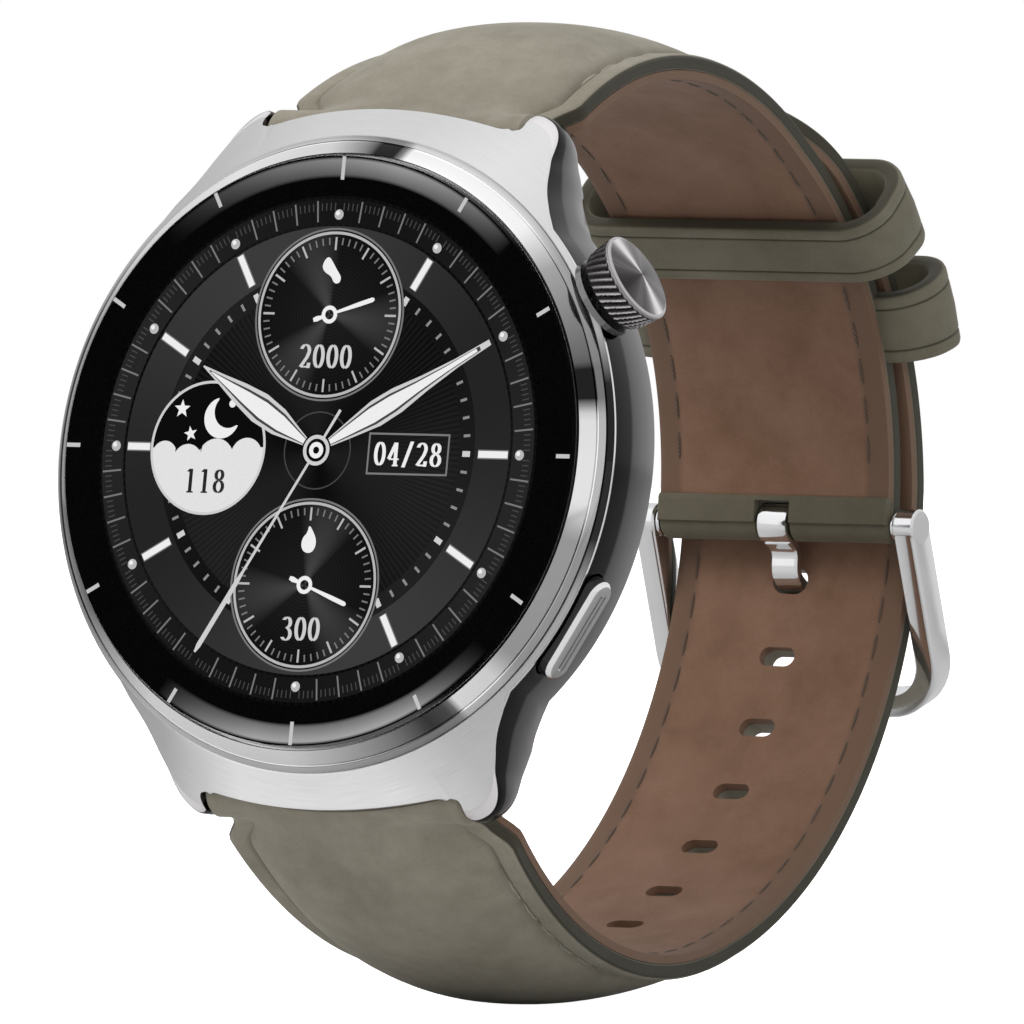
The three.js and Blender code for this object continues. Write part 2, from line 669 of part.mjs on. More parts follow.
// The leather of one strap half: flat inside, crowned outside, thin at its edges.
function leatherBand(path, halfWidth, top) {
  return sweep(path, 0, path.length, STATION, (distance) => {
    const half = halfWidth(distance);
    const bottom = LINING + GLUE_GAP;
    const middle = top(distance) + crowningAt(distance);
    const edge = Math.min(top(distance), THICKNESS.end + 2 * smooth(-distance, -CROWNING.start, 0));
    const shoulder = CROWNING.shoulder * half;
    return [[-half, bottom], [half, bottom], [half, edge], [shoulder, middle], [-shoulder, middle], [-half, edge]];
  });
}

// A strip of leather between two heights over a path, with its half width given along the way.
function band(path, from, to, halfWidth, low, high) {
  return sweep(path, from, to, STATION, (distance) => {
    const half = halfWidth(distance);
    const bottom = low(distance);
    const top = high(distance);
    return [[-half, bottom], [half, bottom], [half, top], [-half, top]];
  });
}

const always = (value) => () => value;
const smooth = THREE.MathUtils.smoothstep;

function halfWidthAlong(distance) {
  const flare = lerp(HALF_WIDTH.lugs, HALF_WIDTH.shoulder, smooth(distance, SHOULDER.start, SHOULDER.end));
  const taper = THREE.MathUtils.clamp((distance - SHOULDER.end) / (SHOULDER.waist - SHOULDER.end), 0, 1);
  return lerp(flare, HALF_WIDTH.waist, taper);
}

function thicknessAlong(distance) {
  const left = 1 - Math.min(distance / THICKNESS.paddedLength, 1);
  return THICKNESS.end + (2 * ROLL_RADIUS - THICKNESS.end) * left * left;
}

// A cylinder round a pin or bar that runs along X.
function roll(radius, halfLength, y, z) {
  return rodAlongX(radius, -halfLength, halfLength, y, z, 24);
}

// Room in the rolled end for the lever of the quick-release pin.
function leverSlot(z) {
  const side = Math.sign(z);
  return box(4.6, 5, 1.4, 6.3, 2.2, 0)
    .rotateX(-side * LEVER_ANGLE)
    .translate(0, BAR.y, z);
}

function upperStrap(path) {
  const fold = (distance) => smooth(distance, path.length - FOLD_LENGTH - 3, path.length - FOLD_LENGTH);
  const top = (distance) => lerp(thicknessAlong(distance), THICKNESS.fold, fold(distance));
  const outer = leatherBand(path, halfWidthAlong, top);
  const pin = pinCentre(path);
  const whole = join(
    outer,
    roll(ROLL_RADIUS, HALF_WIDTH.lugs, BAR.y, BAR.z),
    roll(PIN.roll, HALF_WIDTH.waist, pin.x, pin.y),
  );
  const leather = cut(
    whole,
    roll(BAR_TUBE.radius + 0.1, 14, BAR.y, BAR.z),
    leverSlot(BAR.z),
    roll(PIN.radius + 0.08, 14, pin.x, pin.y),
    box(3.4, 6, 7, 0, pin.x, pin.y - 0.2),
  );
  piece("upper_strap_leather", leather, FINISH.leather);
  const liningWidth = (distance) => halfWidthAlong(distance) - 0.1;
  const lining = band(path, 2.9, path.length - 4, liningWidth, always(0), always(LINING));
  piece("upper_strap_lining", lining, FINISH.lining);
}

// Places of the holes along the lower half, counted from the one that the tang is in.
function holeDistances(path) {
  const middle = path.distanceAtHeight(TANG_HOLE.z);
  const distances = [];
  for (let i = -HOLE.belowTang; i <= HOLE.aboveTang; i++) distances.push(middle + i * HOLE.pitch);
  return distances;
}

function holeTool(path, distance, halfWidth) {
  const { point, normal } = path.at(distance);
  const outline = stadium(HOLE.halfLength, halfWidth);
  return new THREE.ExtrudeGeometry(outline, { depth: 6, bevelEnabled: false, curveSegments: 4 })
    .translate(0, 0, -3)
    .rotateX(Math.atan2(-normal.x, normal.y))
    .translate(0, point.x, point.y);
}

function lowerStrap(path) {
  const tip = path.length - TAIL_TIP;
  const width = (distance) => {
    const past = THREE.MathUtils.clamp((distance - tip) / TAIL_TIP, 0, 0.97);
    return halfWidthAlong(distance) * Math.sqrt(1 - past * past);
  };
  const middle = path.distanceAtHeight(TANG_HOLE.z);
  const holes = holeDistances(path).map((distance) =>
    holeTool(path, distance, distance === middle ? TANG_HOLE.halfWidth : HOLE.halfWidth),
  );
  const outer = leatherBand(path, width, thicknessAlong);
  const whole = join(outer, roll(ROLL_RADIUS, HALF_WIDTH.lugs, BAR.y, -BAR.z));
  const leather = cut(whole, roll(BAR_TUBE.radius + 0.1, 14, BAR.y, -BAR.z), leverSlot(-BAR.z), ...holes);
  piece("lower_strap_leather", leather, FINISH.leather);
  const liningWidth = (distance) => width(distance) - 0.1;
  const lining = band(path, 2.9, path.length - 0.4, liningWidth, always(0), always(LINING));
  piece("lower_strap_lining", cut(lining, ...holes), FINISH.lining);
}

// The outline of a keeper loop, grown or shrunk all round.
function keeperOutline({ low, high }, inset) {
  const half = KEEPER.half - inset;
  const bottom = low + inset;
  const top = high - inset;
  const corner = Math.min(KEEPER.corner - inset, (top - bottom) / 2);
  const centres = [[half - corner, bottom + corner], [half - corner, top - corner],
    [corner - half, top - corner], [corner - half, bottom + corner]];
  const steps = 4;
  return centres.flatMap(([x, height], quarter) => {
    const points = [];
    for (let i = 0; i <= steps; i++) {
      const angle = (quarter - 1 + i / steps) * 90 * DEG;
      points.push([x + corner * Math.cos(angle), height + corner * Math.sin(angle)]);
    }
    return points;
  });
}

function keeperBlock(keeper, width, outline) {
  const { radius } = STRAP_CIRCLE;
  const reach = width / 2 / radius;
  const from = keeper.angle - reach;
  const steps = 6;
  const points = [onStrapCircle(radius, from), ...circlePoints(radius, from, keeper.angle + reach, steps)];
  const path = new Path(points, -1);
  return sweep(path, 0, path.length, path.length / 4, () => outline);
}

function keepers() {
  const loop = (keeper) => cut(
    keeperBlock(keeper, KEEPER.width, keeperOutline(keeper, 0)),
    keeperBlock(keeper, KEEPER.width + 2, keeperOutline(keeper, KEEPER.thickness)),
  );
  piece("floating_keeper", loop(FLOATING_KEEPER), FINISH.leather);
  const strapHalf = HALF_WIDTH.waist + 0.2;
  const strapRoom = [[-strapHalf, -1], [strapHalf, -1], [strapHalf, 3], [-strapHalf, 3]];
  const fixed = cut(loop(FIXED_KEEPER), keeperBlock(FIXED_KEEPER, KEEPER.width + 2, strapRoom));
  piece("fixed_keeper", fixed, FINISH.leather);
}

// ---- Spring bars --------------------------------------------------------------------------------

function springBar(prefix, z) {
  const group = new THREE.Group();
  group.position.set(0, BAR.y, z);
  watch.add(group);
  const side = Math.sign(z);
  const { radius, bore, halfLength } = BAR_TUBE;
  const shell = rodAlongX(radius, -halfLength, halfLength, 0, 0, 20);
  const fixedTip = rodAlongX(BAR_PIN.radius, -BAR_PIN.reach, -halfLength + 1, 0, 0, 16);
  const hollow = rodAlongX(bore, -2, halfLength + 1, 0, 0, 16);
  const slot = box(4.2, 2, 1.0, 6.3, 0.9, 0).rotateX(-side * LEVER_ANGLE);
  piece(prefix + "_bar_tube", cut(join(shell, fixedTip), hollow, slot), FINISH.polishedSteel, group);
  const pin = rodAlongX(BAR_PIN.radius, 5, BAR_PIN.reach, 0, 0, 16);
  const lever = disc(0.36, 0, 3.1, 12).translate(7.4, 0, 0).rotateX(-side * LEVER_ANGLE);
  const knob = disc(0.6, 2.4, 3.2, 12).translate(7.4, 0, 0).rotateX(-side * LEVER_ANGLE);
  piece(prefix + "_release_pin", join(pin, lever, knob), FINISH.polishedSteel, group);
  piece(prefix + "_bar_spring", coil(0.3, 0.09, -1.8, 3.3, 7), FINISH.polishedSteel, group);
}

// A coil spring along X.
function coil(radius, wire, from, to, turns) {
  class Helix extends THREE.Curve {
    getPoint(t, target = new THREE.Vector3()) {
      const angle = 2 * Math.PI * turns * t;
      return target.set(lerp(from, to, t), radius * Math.cos(angle), radius * Math.sin(angle));
    }
  }
  const round = new THREE.Shape();
  round.absarc(0, 0, wire, 0, 2 * Math.PI);
  return new THREE.ExtrudeGeometry(round, {
    extrudePath: new Helix(),
    steps: turns * 6,
    curveSegments: 2,
    bevelEnabled: false,
  });
}

// ---- Buckle -------------------------------------------------------------------------------------

function pinCentre(upper) {
  const end = upper.at(upper.length);
  return end.point.addScaledVector(end.normal, PIN.roll);
}

// A shape drawn in Y-Z, made solid between two places along X.
function acrossX(shape, from, to, curveSegments = 10) {
  const slab = new THREE.ExtrudeGeometry(shape, { depth: to - from, bevelEnabled: false, curveSegments });
  const axes = new THREE.Matrix4().makeBasis(
    new THREE.Vector3(0, 1, 0),
    new THREE.Vector3(0, 0, 1),
    new THREE.Vector3(1, 0, 0),
  );
  return slab.applyMatrix4(axes).translate(from, 0, 0);
}

// A strip of even thickness along a line of points, as an outline.
function stripShape(points, thickness) {
  const curve = new THREE.SplineCurve(points);
  const steps = 14;
  const left = [];
  const right = [];
  for (let i = 0; i <= steps; i++) {
    const point = curve.getPoint(i / steps);
    const along = curve.getTangent(i / steps);
    const aside = new THREE.Vector2(-along.y, along.x).multiplyScalar(thickness / 2);
    left.push(point.clone().add(aside));
    right.push(point.clone().sub(aside));
  }
  return new THREE.Shape([...left, ...right.reverse()]);
}

// The frame's U, drawn with its pin on the first axis and its bar below.
function frameShape() {
  const { inner, outer, barFrom, barTo, corner, eye } = BUCKLE;
  const innerCorner = corner - (outer - inner);
  const shape = new THREE.Shape();
  shape.moveTo(-outer, eye);
  shape.lineTo(-outer, corner - barTo);
  shape.absarc(corner - outer, corner - barTo, corner, Math.PI, 1.5 * Math.PI);
  shape.absarc(outer - corner, corner - barTo, corner, 1.5 * Math.PI, 2 * Math.PI);
  shape.lineTo(outer, eye);
  shape.lineTo(inner, eye);
  shape.lineTo(inner, innerCorner - barFrom);
  shape.absarc(inner - innerCorner, innerCorner - barFrom, innerCorner, 0, -Math.PI / 2, true);
  shape.absarc(innerCorner - inner, innerCorner - barFrom, innerCorner, -Math.PI / 2, -Math.PI, true);
  shape.lineTo(-inner, eye);
  shape.closePath();
  return shape;
}

function buckle(upper) {
  const pin = pinCentre(upper);
  const { thickness, inner, outer, eye } = BUCKLE;
  const plate = new THREE.ExtrudeGeometry(frameShape(), {
    depth: thickness,
    bevelEnabled: false,
    curveSegments: 6,
  })
    .translate(0, 0, -thickness / 2)
    .rotateX(Math.PI / 2 + FRAME_TILT)
    .translate(0, pin.x, pin.y);
  const knuckles = [1, -1].map((side) =>
    rodAlongX(eye, Math.min(side * inner, side * outer), Math.max(side * inner, side * outer), pin.x, pin.y, 20),
  );
  const bore = roll(PIN.radius + 0.08, 14, pin.x, pin.y);
  piece("buckle_frame", cut(join(plate, ...knuckles), bore), FINISH.polishedSteel);
  piece("buckle_pin", roll(PIN.radius, PIN.halfLength, pin.x, pin.y), FINISH.polishedSteel);

  const ring = roll(TANG.ringRadius, TANG.ringHalfWidth, pin.x, pin.y);
  const shank = acrossX(stripShape(tangLine(pin), TANG.thickness), -TANG.halfWidth, TANG.halfWidth);
  piece("buckle_tang", cut(join(ring, shank), bore), FINISH.polishedSteel);
}

// The tang hangs down inside the strap, turns out through its hole and lies on the outer bar.
function tangLine(pin) {
  const along = new THREE.Vector2(Math.sin(FRAME_TILT), -Math.cos(FRAME_TILT));
  const aside = new THREE.Vector2(-along.y, along.x);
  const rest = (BUCKLE.thickness + TANG.thickness) / 2 + 0.12;
  const onBar = (distance) => pin.clone().addScaledVector(along, distance).addScaledVector(aside, rest);
  return [
    new THREE.Vector2(pin.x - 0.4, pin.y - 1.1),
    new THREE.Vector2(pin.x + 0.3, pin.y - 2.8),
    new THREE.Vector2(pin.x + 1.5, pin.y - 3.9),
    new THREE.Vector2(pin.x + 3.6, pin.y - 4.4),
    onBar(6.6),
    onBar(9.5),
    onBar(13.2),
  ];
}

// ---- Assembly -----------------------------------------------------------------------------------

midFrame();
bezelRing();
coverGlass();
innerChassis();
electronics();
back();
crown();
button();
springBar("upper", BAR.z);
springBar("lower", -BAR.z);
const upper = upperPath();
upperStrap(upper);
lowerStrap(lowerPath(upper));
keepers();
buckle(upper);

export default smartwatch;
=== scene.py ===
"""Looks of a round smartwatch on a padded leather strap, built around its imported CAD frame.

Shapes are written in the watch's own axes, in millimetres: +X to three o'clock, +Z to twelve
o'clock and +Y into the case from the lit picture. WATCH carries them into the frame's metres.
"""

import json
import math
import random

import bmesh
import bpy
import numpy as np
from mathutils import Matrix, Vector

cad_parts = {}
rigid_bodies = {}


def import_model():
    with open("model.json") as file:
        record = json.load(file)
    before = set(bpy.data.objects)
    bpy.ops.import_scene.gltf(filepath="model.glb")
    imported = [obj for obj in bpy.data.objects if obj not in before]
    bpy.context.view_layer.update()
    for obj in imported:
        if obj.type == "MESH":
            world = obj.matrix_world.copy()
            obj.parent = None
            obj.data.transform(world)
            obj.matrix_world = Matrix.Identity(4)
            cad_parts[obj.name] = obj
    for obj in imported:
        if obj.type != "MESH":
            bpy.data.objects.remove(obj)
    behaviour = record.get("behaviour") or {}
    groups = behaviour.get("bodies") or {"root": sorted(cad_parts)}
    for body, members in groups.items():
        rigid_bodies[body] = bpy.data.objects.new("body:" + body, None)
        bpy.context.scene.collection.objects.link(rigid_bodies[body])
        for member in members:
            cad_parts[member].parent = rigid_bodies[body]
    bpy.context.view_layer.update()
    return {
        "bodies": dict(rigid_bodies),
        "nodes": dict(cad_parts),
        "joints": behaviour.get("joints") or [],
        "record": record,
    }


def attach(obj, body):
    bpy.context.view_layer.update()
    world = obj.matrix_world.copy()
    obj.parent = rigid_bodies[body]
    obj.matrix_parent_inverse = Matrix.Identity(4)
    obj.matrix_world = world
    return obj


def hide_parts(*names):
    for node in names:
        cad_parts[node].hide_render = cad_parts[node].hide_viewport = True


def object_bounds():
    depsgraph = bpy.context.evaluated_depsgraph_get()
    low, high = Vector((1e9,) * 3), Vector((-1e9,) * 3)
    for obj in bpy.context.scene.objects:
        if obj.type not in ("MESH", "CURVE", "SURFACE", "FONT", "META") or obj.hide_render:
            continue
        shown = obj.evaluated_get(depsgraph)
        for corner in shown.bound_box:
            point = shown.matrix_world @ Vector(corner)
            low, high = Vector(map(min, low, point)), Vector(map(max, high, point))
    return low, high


MM = 0.001
DEG = math.pi / 180
LEAN = 9.9 * DEG
CHARGING_FACE = 10.9
WATCH = (
    Matrix.Scale(MM, 4)
    @ Matrix.Rotation(-LEAN, 4, "X")
    @ Matrix.Translation((0, -CHARGING_FACE, 0))
)

# Camera: nearly parallel projection at the viewing angle of a product picture.
CAMERA_AZIMUTH = 32.05 * DEG
CAMERA_ELEVATION = 2.24 * DEG
CAMERA_DISTANCE = 3.0
CAMERA_TARGET = (-0.005756, 0.025, -0.003883)
CAMERA_LENS = 1446

# Case.
BEZEL_INNER = 21.75
BEZEL_OUTER = 23.25
FRAME_RADIUS = 23.6
FRAME_BORE = 20.7
FRAME_BACK = 9.6
FRAME_BACK_RADIUS = 21.7
LIP = (25.55, 4.5)
LIP_CORNER = (9.9, 24.3, 5.4)
LUG_EDGE = [
    (10.5, 24.6, 6.1),
    (11.3, 25.3, 6.6),
    (13.3, 24.1, 6.6),
    (14.2, 21.9, 5.2),
    (14.8, 19.9, 3.9),
    (15.9, 18.0, 2.9),
]
LUG_ROOT_ANGLE = 46 * DEG
SIDE_DEPTH = 2.5
LIP_UNDERSIDE = 5.8
RECESS_HALF_WIDTH = 11.15
RECESS_Z = 21.85
BAR_HOLE_RADIUS = 0.55
BAR_HOLE_REACH = (10.5, 12.8)
LEDGE = 1.2
BEZEL_SEAT = 2.08

# Crown and button.
CROWN_ANGLE = 30 * DEG
CROWN_DEPTH = 3.7
CROWN_TEETH = 34
BUTTON_ANGLE = -30 * DEG
BUTTON_DEPTH = 4.2
CROWN_FOOT = 25.2
CROWN_HOLE = 1.5
BUTTON_HALVES = (4.12, 1.22)
POCKET_GAP = 0.15

# Strap: the paths of the CAD source, so that both models bend alike.
BAR = (8.1, 23.9)
STRAP_CIRCLE = (34.8, 2.5, 28.1)
TOP_ANGLE = 58 * DEG
PIN_ANGLE = 2.2 * DEG
LOW_ANGLE = 8 * DEG
UPPER_HEADING = 45 * DEG
LOWER_HEADING = -44 * DEG
TAIL_LIFT = (3.3, 2.05)
TAIL_REACH = 7.6
TAIL_TIP = 9.6
ROLL_RADIUS = 1.95
LINING = 0.7
EDGE_THICKNESS = 1.9
FOLD_THICKNESS = 2.45
PADDED_LENGTH = 35
FOLD_LENGTH = 14
HALF_WIDTH = (10.9, 12.3, 9.9)
SHOULDER = (2.7, 5.0)
TAPER = (3.5, 40)
HOLE = (1.5, 0.75)
HOLE_PITCH = 5.83
HOLES_BELOW = 6
HOLES_ABOVE = 3
TANG_HOLE_Z = -0.3
TANG_HOLE_HALF_WIDTH = 1.0
MARGIN = 1.9
BAND_EDGE = 0.12
LINING_SEAM = 1.75
STITCH_STATIONS = (
    (-1.0, 0.25), (-0.85, 0.75), (-0.5, 1.0), (0, 1.05), (0.5, 1.0), (0.85, 0.75), (1.0, 0.25),
)
TANG_SLOT = (3.0, 6, 3.6)
PIN_ROLL = 1.25
EDGE_INSETS = (0, 0.1, 0.22, 0.45, 0.9, 1.3, 1.55, 1.7, 1.82, 1.9, 1.98, 2.1, 2.25, 2.6, 3.2, 4.0)
UPPER_PAD = (1.55, 2.5, 14, 17, 42)
LOWER_PAD = (2.15, 2.0, 14, 22, 46)

# Keepers and buckle.
FLOATING_KEEPER = (46.9 * DEG, -1.45, 6.6)
FIXED_KEEPER = (31.2 * DEG, 0.8, 7.9)
KEEPER_WIDTH = 5.6
KEEPER_THICKNESS = 1.3
KEEPER_HALF = 13.6
KEEPER_CORNER = 3.4
FRAME_TILT = 27.5 * DEG
ARM_MIDDLE = 11.15
ARM_WIDTH = 1.7
FRAME_THICKNESS = 2.6
BAR_DISTANCE = 13.7
FRAME_CORNER = 3.6
EYE_RADIUS = 1.32
EYE_REACH = (10.3, 12.06)
ROD_RADIUS = 0.62
ROD_HALF = 11.7
COLLAR_RADIUS = 1.1
COLLAR_REACH = (9.97, 10.26)

MAIN = "watch_and_strap"


# ---- Meshes ------------------------------------------------------------------------------------


def mesh_object(name, points, faces, material, matrix=WATCH, sharp=35, merge=True):
    """An object from points in millimetres; edges sharper than an angle stay crisp.

    Without merging, the points keep their order, so that attributes fit them.
    """
    mesh = bpy.data.meshes.new(name)
    world = np.array(matrix, float)
    co = np.asarray(points, float) @ world[:3, :3].T + world[:3, 3]
    mesh.from_pydata(co.tolist(), [], [tuple(f) for f in faces])
    if merge:
        mesh.validate()
    bm = bmesh.new()
    bm.from_mesh(mesh)
    if merge:
        bmesh.ops.remove_doubles(bm, verts=bm.verts, dist=1e-7)
    bmesh.ops.recalc_face_normals(bm, faces=bm.faces)
    bm.to_mesh(mesh)
    bm.free()
    return finish_object(name, mesh, material, sharp)


def plain_mesh(name, points, faces, material):
    return mesh_object(name, points, faces, material, sharp=50, merge=False)


def fit(obj, body, replaced=None):
    """Puts a piece on its body, in place of the CAD solid it stands for."""
    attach(obj, body)
    if replaced:
        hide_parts(replaced)


def put_attribute(obj, name, values):
    attribute = obj.data.attributes.new(name, "FLOAT", "POINT")
    attribute.data.foreach_set("value", np.array(values, np.float32))


def finish_object(name, mesh, material, sharp=35):
    obj = bpy.data.objects.new(name, mesh)
    bpy.context.scene.collection.objects.link(obj)
    for polygon in mesh.polygons:
        polygon.use_smooth = True
    mesh.set_sharp_from_angle(angle=sharp * DEG)
    mesh.materials.clear()
    mesh.materials.append(material)
    return obj


def grid_faces(rows, columns, wrap_rows, wrap_columns):
    faces = []
    for i in range(rows if wrap_rows else rows - 1):
        for j in range(columns if wrap_columns else columns - 1):
            k = (i + 1) % rows
            n = (j + 1) % columns
            faces.append((i * columns + j, k * columns + j, k * columns + n, i * columns + n))
    return faces


def capped_faces(rows, columns):
    """Faces of a skin over closed outlines, with a cap on the first and the last."""
    faces = grid_faces(rows, columns, False, True)
    faces.append(tuple(range(columns)))
    faces.append(tuple((rows - 1) * columns + i for i in range(columns)))
    return faces


def skin(name, outlines, material, endless=False, sharp=35, matrix=WATCH):
    """Skins closed outlines into one body, capped at its ends or closed into a ring."""
    count = len(outlines[0])
    points = [p for outline in outlines for p in outline]
    if endless:
        faces = grid_faces(len(outlines), count, True, True)
    else:
        faces = capped_faces(len(outlines), count)
    return mesh_object(name, points, faces, material, matrix, sharp)


def lathe(name, profile, material, steps=192, matrix=WATCH, sharp=35):
    """A body turned about the Y axis from a closed profile of (radius, depth)."""
    outlines = []
    for i in range(steps):
        angle = 2 * math.pi * i / steps
        c = math.cos(angle)
        s = math.sin(angle)
        outlines.append([(r * c, y, r * s) for r, y in profile])
    return skin(name, outlines, material, endless=True, sharp=sharp, matrix=matrix)


def rod(name, radius, start, end, material, steps=40, chamfer=0.1, matrix=WATCH):
    """A rod between two places with chamfered ends."""
    start = Vector(start)
    end = Vector(end)
    along = (end - start).normalized()
    side = along.orthogonal().normalized()
    other = along.cross(side)
    length = (end - start).length
    outlines = []
    thin = radius - chamfer
    for reach, r in ((0, thin), (chamfer, radius), (length - chamfer, radius), (length, thin)):
        centre = start + along * reach
        ring = []
        for i in range(steps):
            angle = 2 * math.pi * i / steps
            ring.append(tuple(centre + side * (r * math.cos(angle)) + other * (r * math.sin(angle))))
        outlines.append(ring)
    return skin(name, outlines, material, matrix=matrix)


def boolean_cut(obj, cutters):
    """Cuts other objects out of one, and removes them."""
    for cutter in cutters:
        modifier = obj.modifiers.new("cut", "BOOLEAN")
        modifier.operation = "DIFFERENCE"
        modifier.solver = "EXACT"
        modifier.object = cutter
    bpy.context.view_layer.update()
    graph = bpy.context.evaluated_depsgraph_get()
    mesh = bpy.data.meshes.new_from_object(obj.evaluated_get(graph))
    obj.modifiers.clear()
    material = obj.data.materials[0]
    obj.data = mesh
    for cutter in cutters:
        bpy.data.objects.remove(cutter)
    for polygon in mesh.polygons:
        polygon.use_smooth = True
        polygon.material_index = 0
    mesh.set_sharp_from_angle(angle=35 * DEG)
    mesh.materials.clear()
    mesh.materials.append(material)


def join_objects(name, objects):
    """Joins several objects with the same material into one."""
    bm = bmesh.new()
    material = objects[0].data.materials[0]
    for obj in objects:
        bm.from_mesh(obj.data)
    mesh = bpy.data.meshes.new(name)
    bm.to_mesh(mesh)
    bm.free()
    for obj in objects:
        bpy.data.objects.remove(obj)
    return finish_object(name, mesh, material)


def smooth_step(value, low, high):
    t = min(max((value - low) / (high - low), 0), 1)
    return t * t * (3 - 2 * t)


def lerp(a, b, t):
    return a + (b - a) * t


def chaikin(points, rounds, closed=False):
    """Rounds the corners of a line of points by cutting them."""
    for _ in range(rounds):
        result = [] if closed else [points[0]]
        count = len(points)
        for i in range(count if closed else count - 1):
            a = np.array(points[i], float)
            b = np.array(points[(i + 1) % count], float)
            result.append(tuple(a * 0.75 + b * 0.25))
            result.append(tuple(a * 0.25 + b * 0.75))
        if not closed:
            result.append(points[-1])
        points = result
    return points


# ---- Materials ---------------------------------------------------------------------------------


class Nodes:
    """A short hand for building a node material."""

    def __init__(self, name):
        self.material = bpy.data.materials.new(name)
        self.material.use_nodes = True
        self.tree = self.material.node_tree
        self.shader = self.tree.nodes["Principled BSDF"]
        self.output = self.tree.nodes["Material Output"]

    def add(self, kind, **settings):
        node = self.tree.nodes.new(kind)
        for key, value in settings.items():
            setattr(node, key, value)
        return node

    def link(self, source, target):
        self.tree.links.new(source, target)

    def put(self, socket, value):
        if hasattr(value, "links"):
            self.link(value, socket)
        else:
            socket.default_value = value

    def math(self, operation, *values):
        node = self.add("ShaderNodeMath", operation=operation)
        for i, value in enumerate(values):
            self.put(node.inputs[i], value)
        return node.outputs[0]

    def times(self, a, b):
        return self.math("MULTIPLY", a, b)

    def plus(self, a, b):
        return self.math("ADD", a, b)

    def mix(self, factor, a, b):
        node = self.add("ShaderNodeMix", data_type="RGBA")
        self.put(node.inputs["Factor"], factor)
        self.put(node.inputs[6], a)
        self.put(node.inputs[7], b)
        return node.outputs[2]

    def ramp(self, value, *stops):
        """Maps a value through (place, colour) stops."""
        node = self.add("ShaderNodeValToRGB")
        self.link(value, node.inputs[0])
        elements = node.color_ramp.elements
        elements[0].position = stops[0][0]
        elements[1].position = stops[-1][0]
        for place, _ in stops[1:-1]:
            elements.new(place)
        for element, (_, colour) in zip(elements, stops):
            element.color = colour if len(colour) == 4 else (*colour, 1)
        return node.outputs[0]

    def grey_ramp(self, value, *stops):
        return self.ramp(value, *[(place, (g, g, g, 1)) for place, g in stops])

    def range(self, value, low, high, to_low=0.0, to_high=1.0):
        node = self.add("ShaderNodeMapRange")
        for i, v in enumerate((value, low, high, to_low, to_high)):
            self.put(node.inputs[i], v)
        return node.outputs[0]

    def object_place(self, scale):
        """Places in the frame, in units of millimetres over scale."""
        place = self.add("ShaderNodeTexCoord").outputs["Object"]
        node = self.add("ShaderNodeMapping")
        self.link(place, node.inputs["Vector"])
        factors = scale if isinstance(scale, tuple) else (scale, scale, scale)
        node.inputs["Scale"].default_value = [1000 * f for f in factors]
        return node.outputs[0]

    def noise(self, vector, scale, detail=2.0, roughness=0.5):
        node = self.add("ShaderNodeTexNoise")
        self.link(vector, node.inputs["Vector"])
        node.inputs["Scale"].default_value = scale
        node.inputs["Detail"].default_value = detail
        node.inputs["Roughness"].default_value = roughness
        return node.outputs["Fac"]

    def polar(self, axes="watch", centre=(0, 0)):
        """Radius and angle about an axis that runs along Y of some axes."""
        node = self.add("ShaderNodeTexCoord", object=AXES[axes])
        split = self.add("ShaderNodeSeparateXYZ")
        self.link(node.outputs["Object"], split.inputs[0])
        x = self.math("SUBTRACT", split.outputs[0], centre[0])
        z = self.math("SUBTRACT", split.outputs[2], centre[1])
        radius = self.math("SQRT", self.plus(self.times(x, x), self.times(z, z)))
        angle = self.math("ARCTAN2", z, x)
        return radius, angle, split.outputs[1]

    def combine(self, x, y, z):
        node = self.add("ShaderNodeCombineXYZ")
        for i, value in enumerate((x, y, z)):
            self.put(node.inputs[i], value)
        return node.outputs[0]

    def attribute(self, name):
        return self.add("ShaderNodeAttribute", attribute_name=name).outputs["Fac"]

    def bump(self, height, distance, strength=1.0):
        node = self.add("ShaderNodeBump")
        node.inputs["Strength"].default_value = strength
        node.inputs["Distance"].default_value = distance * MM
        self.link(height, node.inputs["Height"])
        self.link(node.outputs[0], self.shader.inputs["Normal"])
        return node

    def surface(self, colour=None, roughness=None, metallic=None, **others):
        named = {"Base Color": colour, "Roughness": roughness, "Metallic": metallic}
        named.update({key.replace("_", " "): value for key, value in others.items()})
        for key, value in named.items():
            if value is not None:
                self.put(self.shader.inputs[key], value)
        return self.material


AXES = {}

# Painted reflection in the polished bezel's colour, light and dark zones: degrees from three o'clock, grey
# level.
BEZEL_ZONES = [
    (0, 0.95),
    (8, 0.9),
    (11, 0.02),
    (17, 0.02),
    (18.5, 0.16),
    (38, 0.4),
    (48, 0.95),
    (78, 0.98),
    (79, 0.015),
    (85, 0.015),
    (86, 0.2),
    (95, 0.8),
    (115, 0.95),
    (140, 0.75),
    (160, 0.16),
    (212, 0.1),
    (235, 0.8),
    (268, 0.85),
    (290, 0.3),
    (299, 0.05),
    (305, 0.1),
    (306.5, 0.95),
    (315, 0.85),
    (320, 0.4),
    (345, 0.42),
    (351, 0.95),
]

# Painted light and shade in the colour of the satin front of the case: degrees from three o'clock, grey
# level.
FACE_ZONES = [
    (0, 0.02),
    (14, 0.025),
    (24, 0.42),
    (40, 0.62),
    (62, 0.7),
    (80, 0.6),
    (100, 0.6),
    (118, 0.52),
    (140, 0.42),
    (215, 0.34),
    (238, 0.5),
    (255, 0.95),
    (285, 0.9),
    (300, 0.6),
    (318, 0.5),
    (336, 0.4),
    (346, 0.03),
]

# Painted reflection in the colour of the polished side: share of the way from the front edge to the back,
# grey level.
SIDE_ZONES = [
    (0.0, 0.5),
    (0.035, 0.9),
    (0.052, 0.9),
    (0.058, 0.012),
    (0.4, 0.014),
    (0.46, 0.1),
    (0.75, 0.2),
    (0.92, 0.29),
    (1.0, 0.4),
]
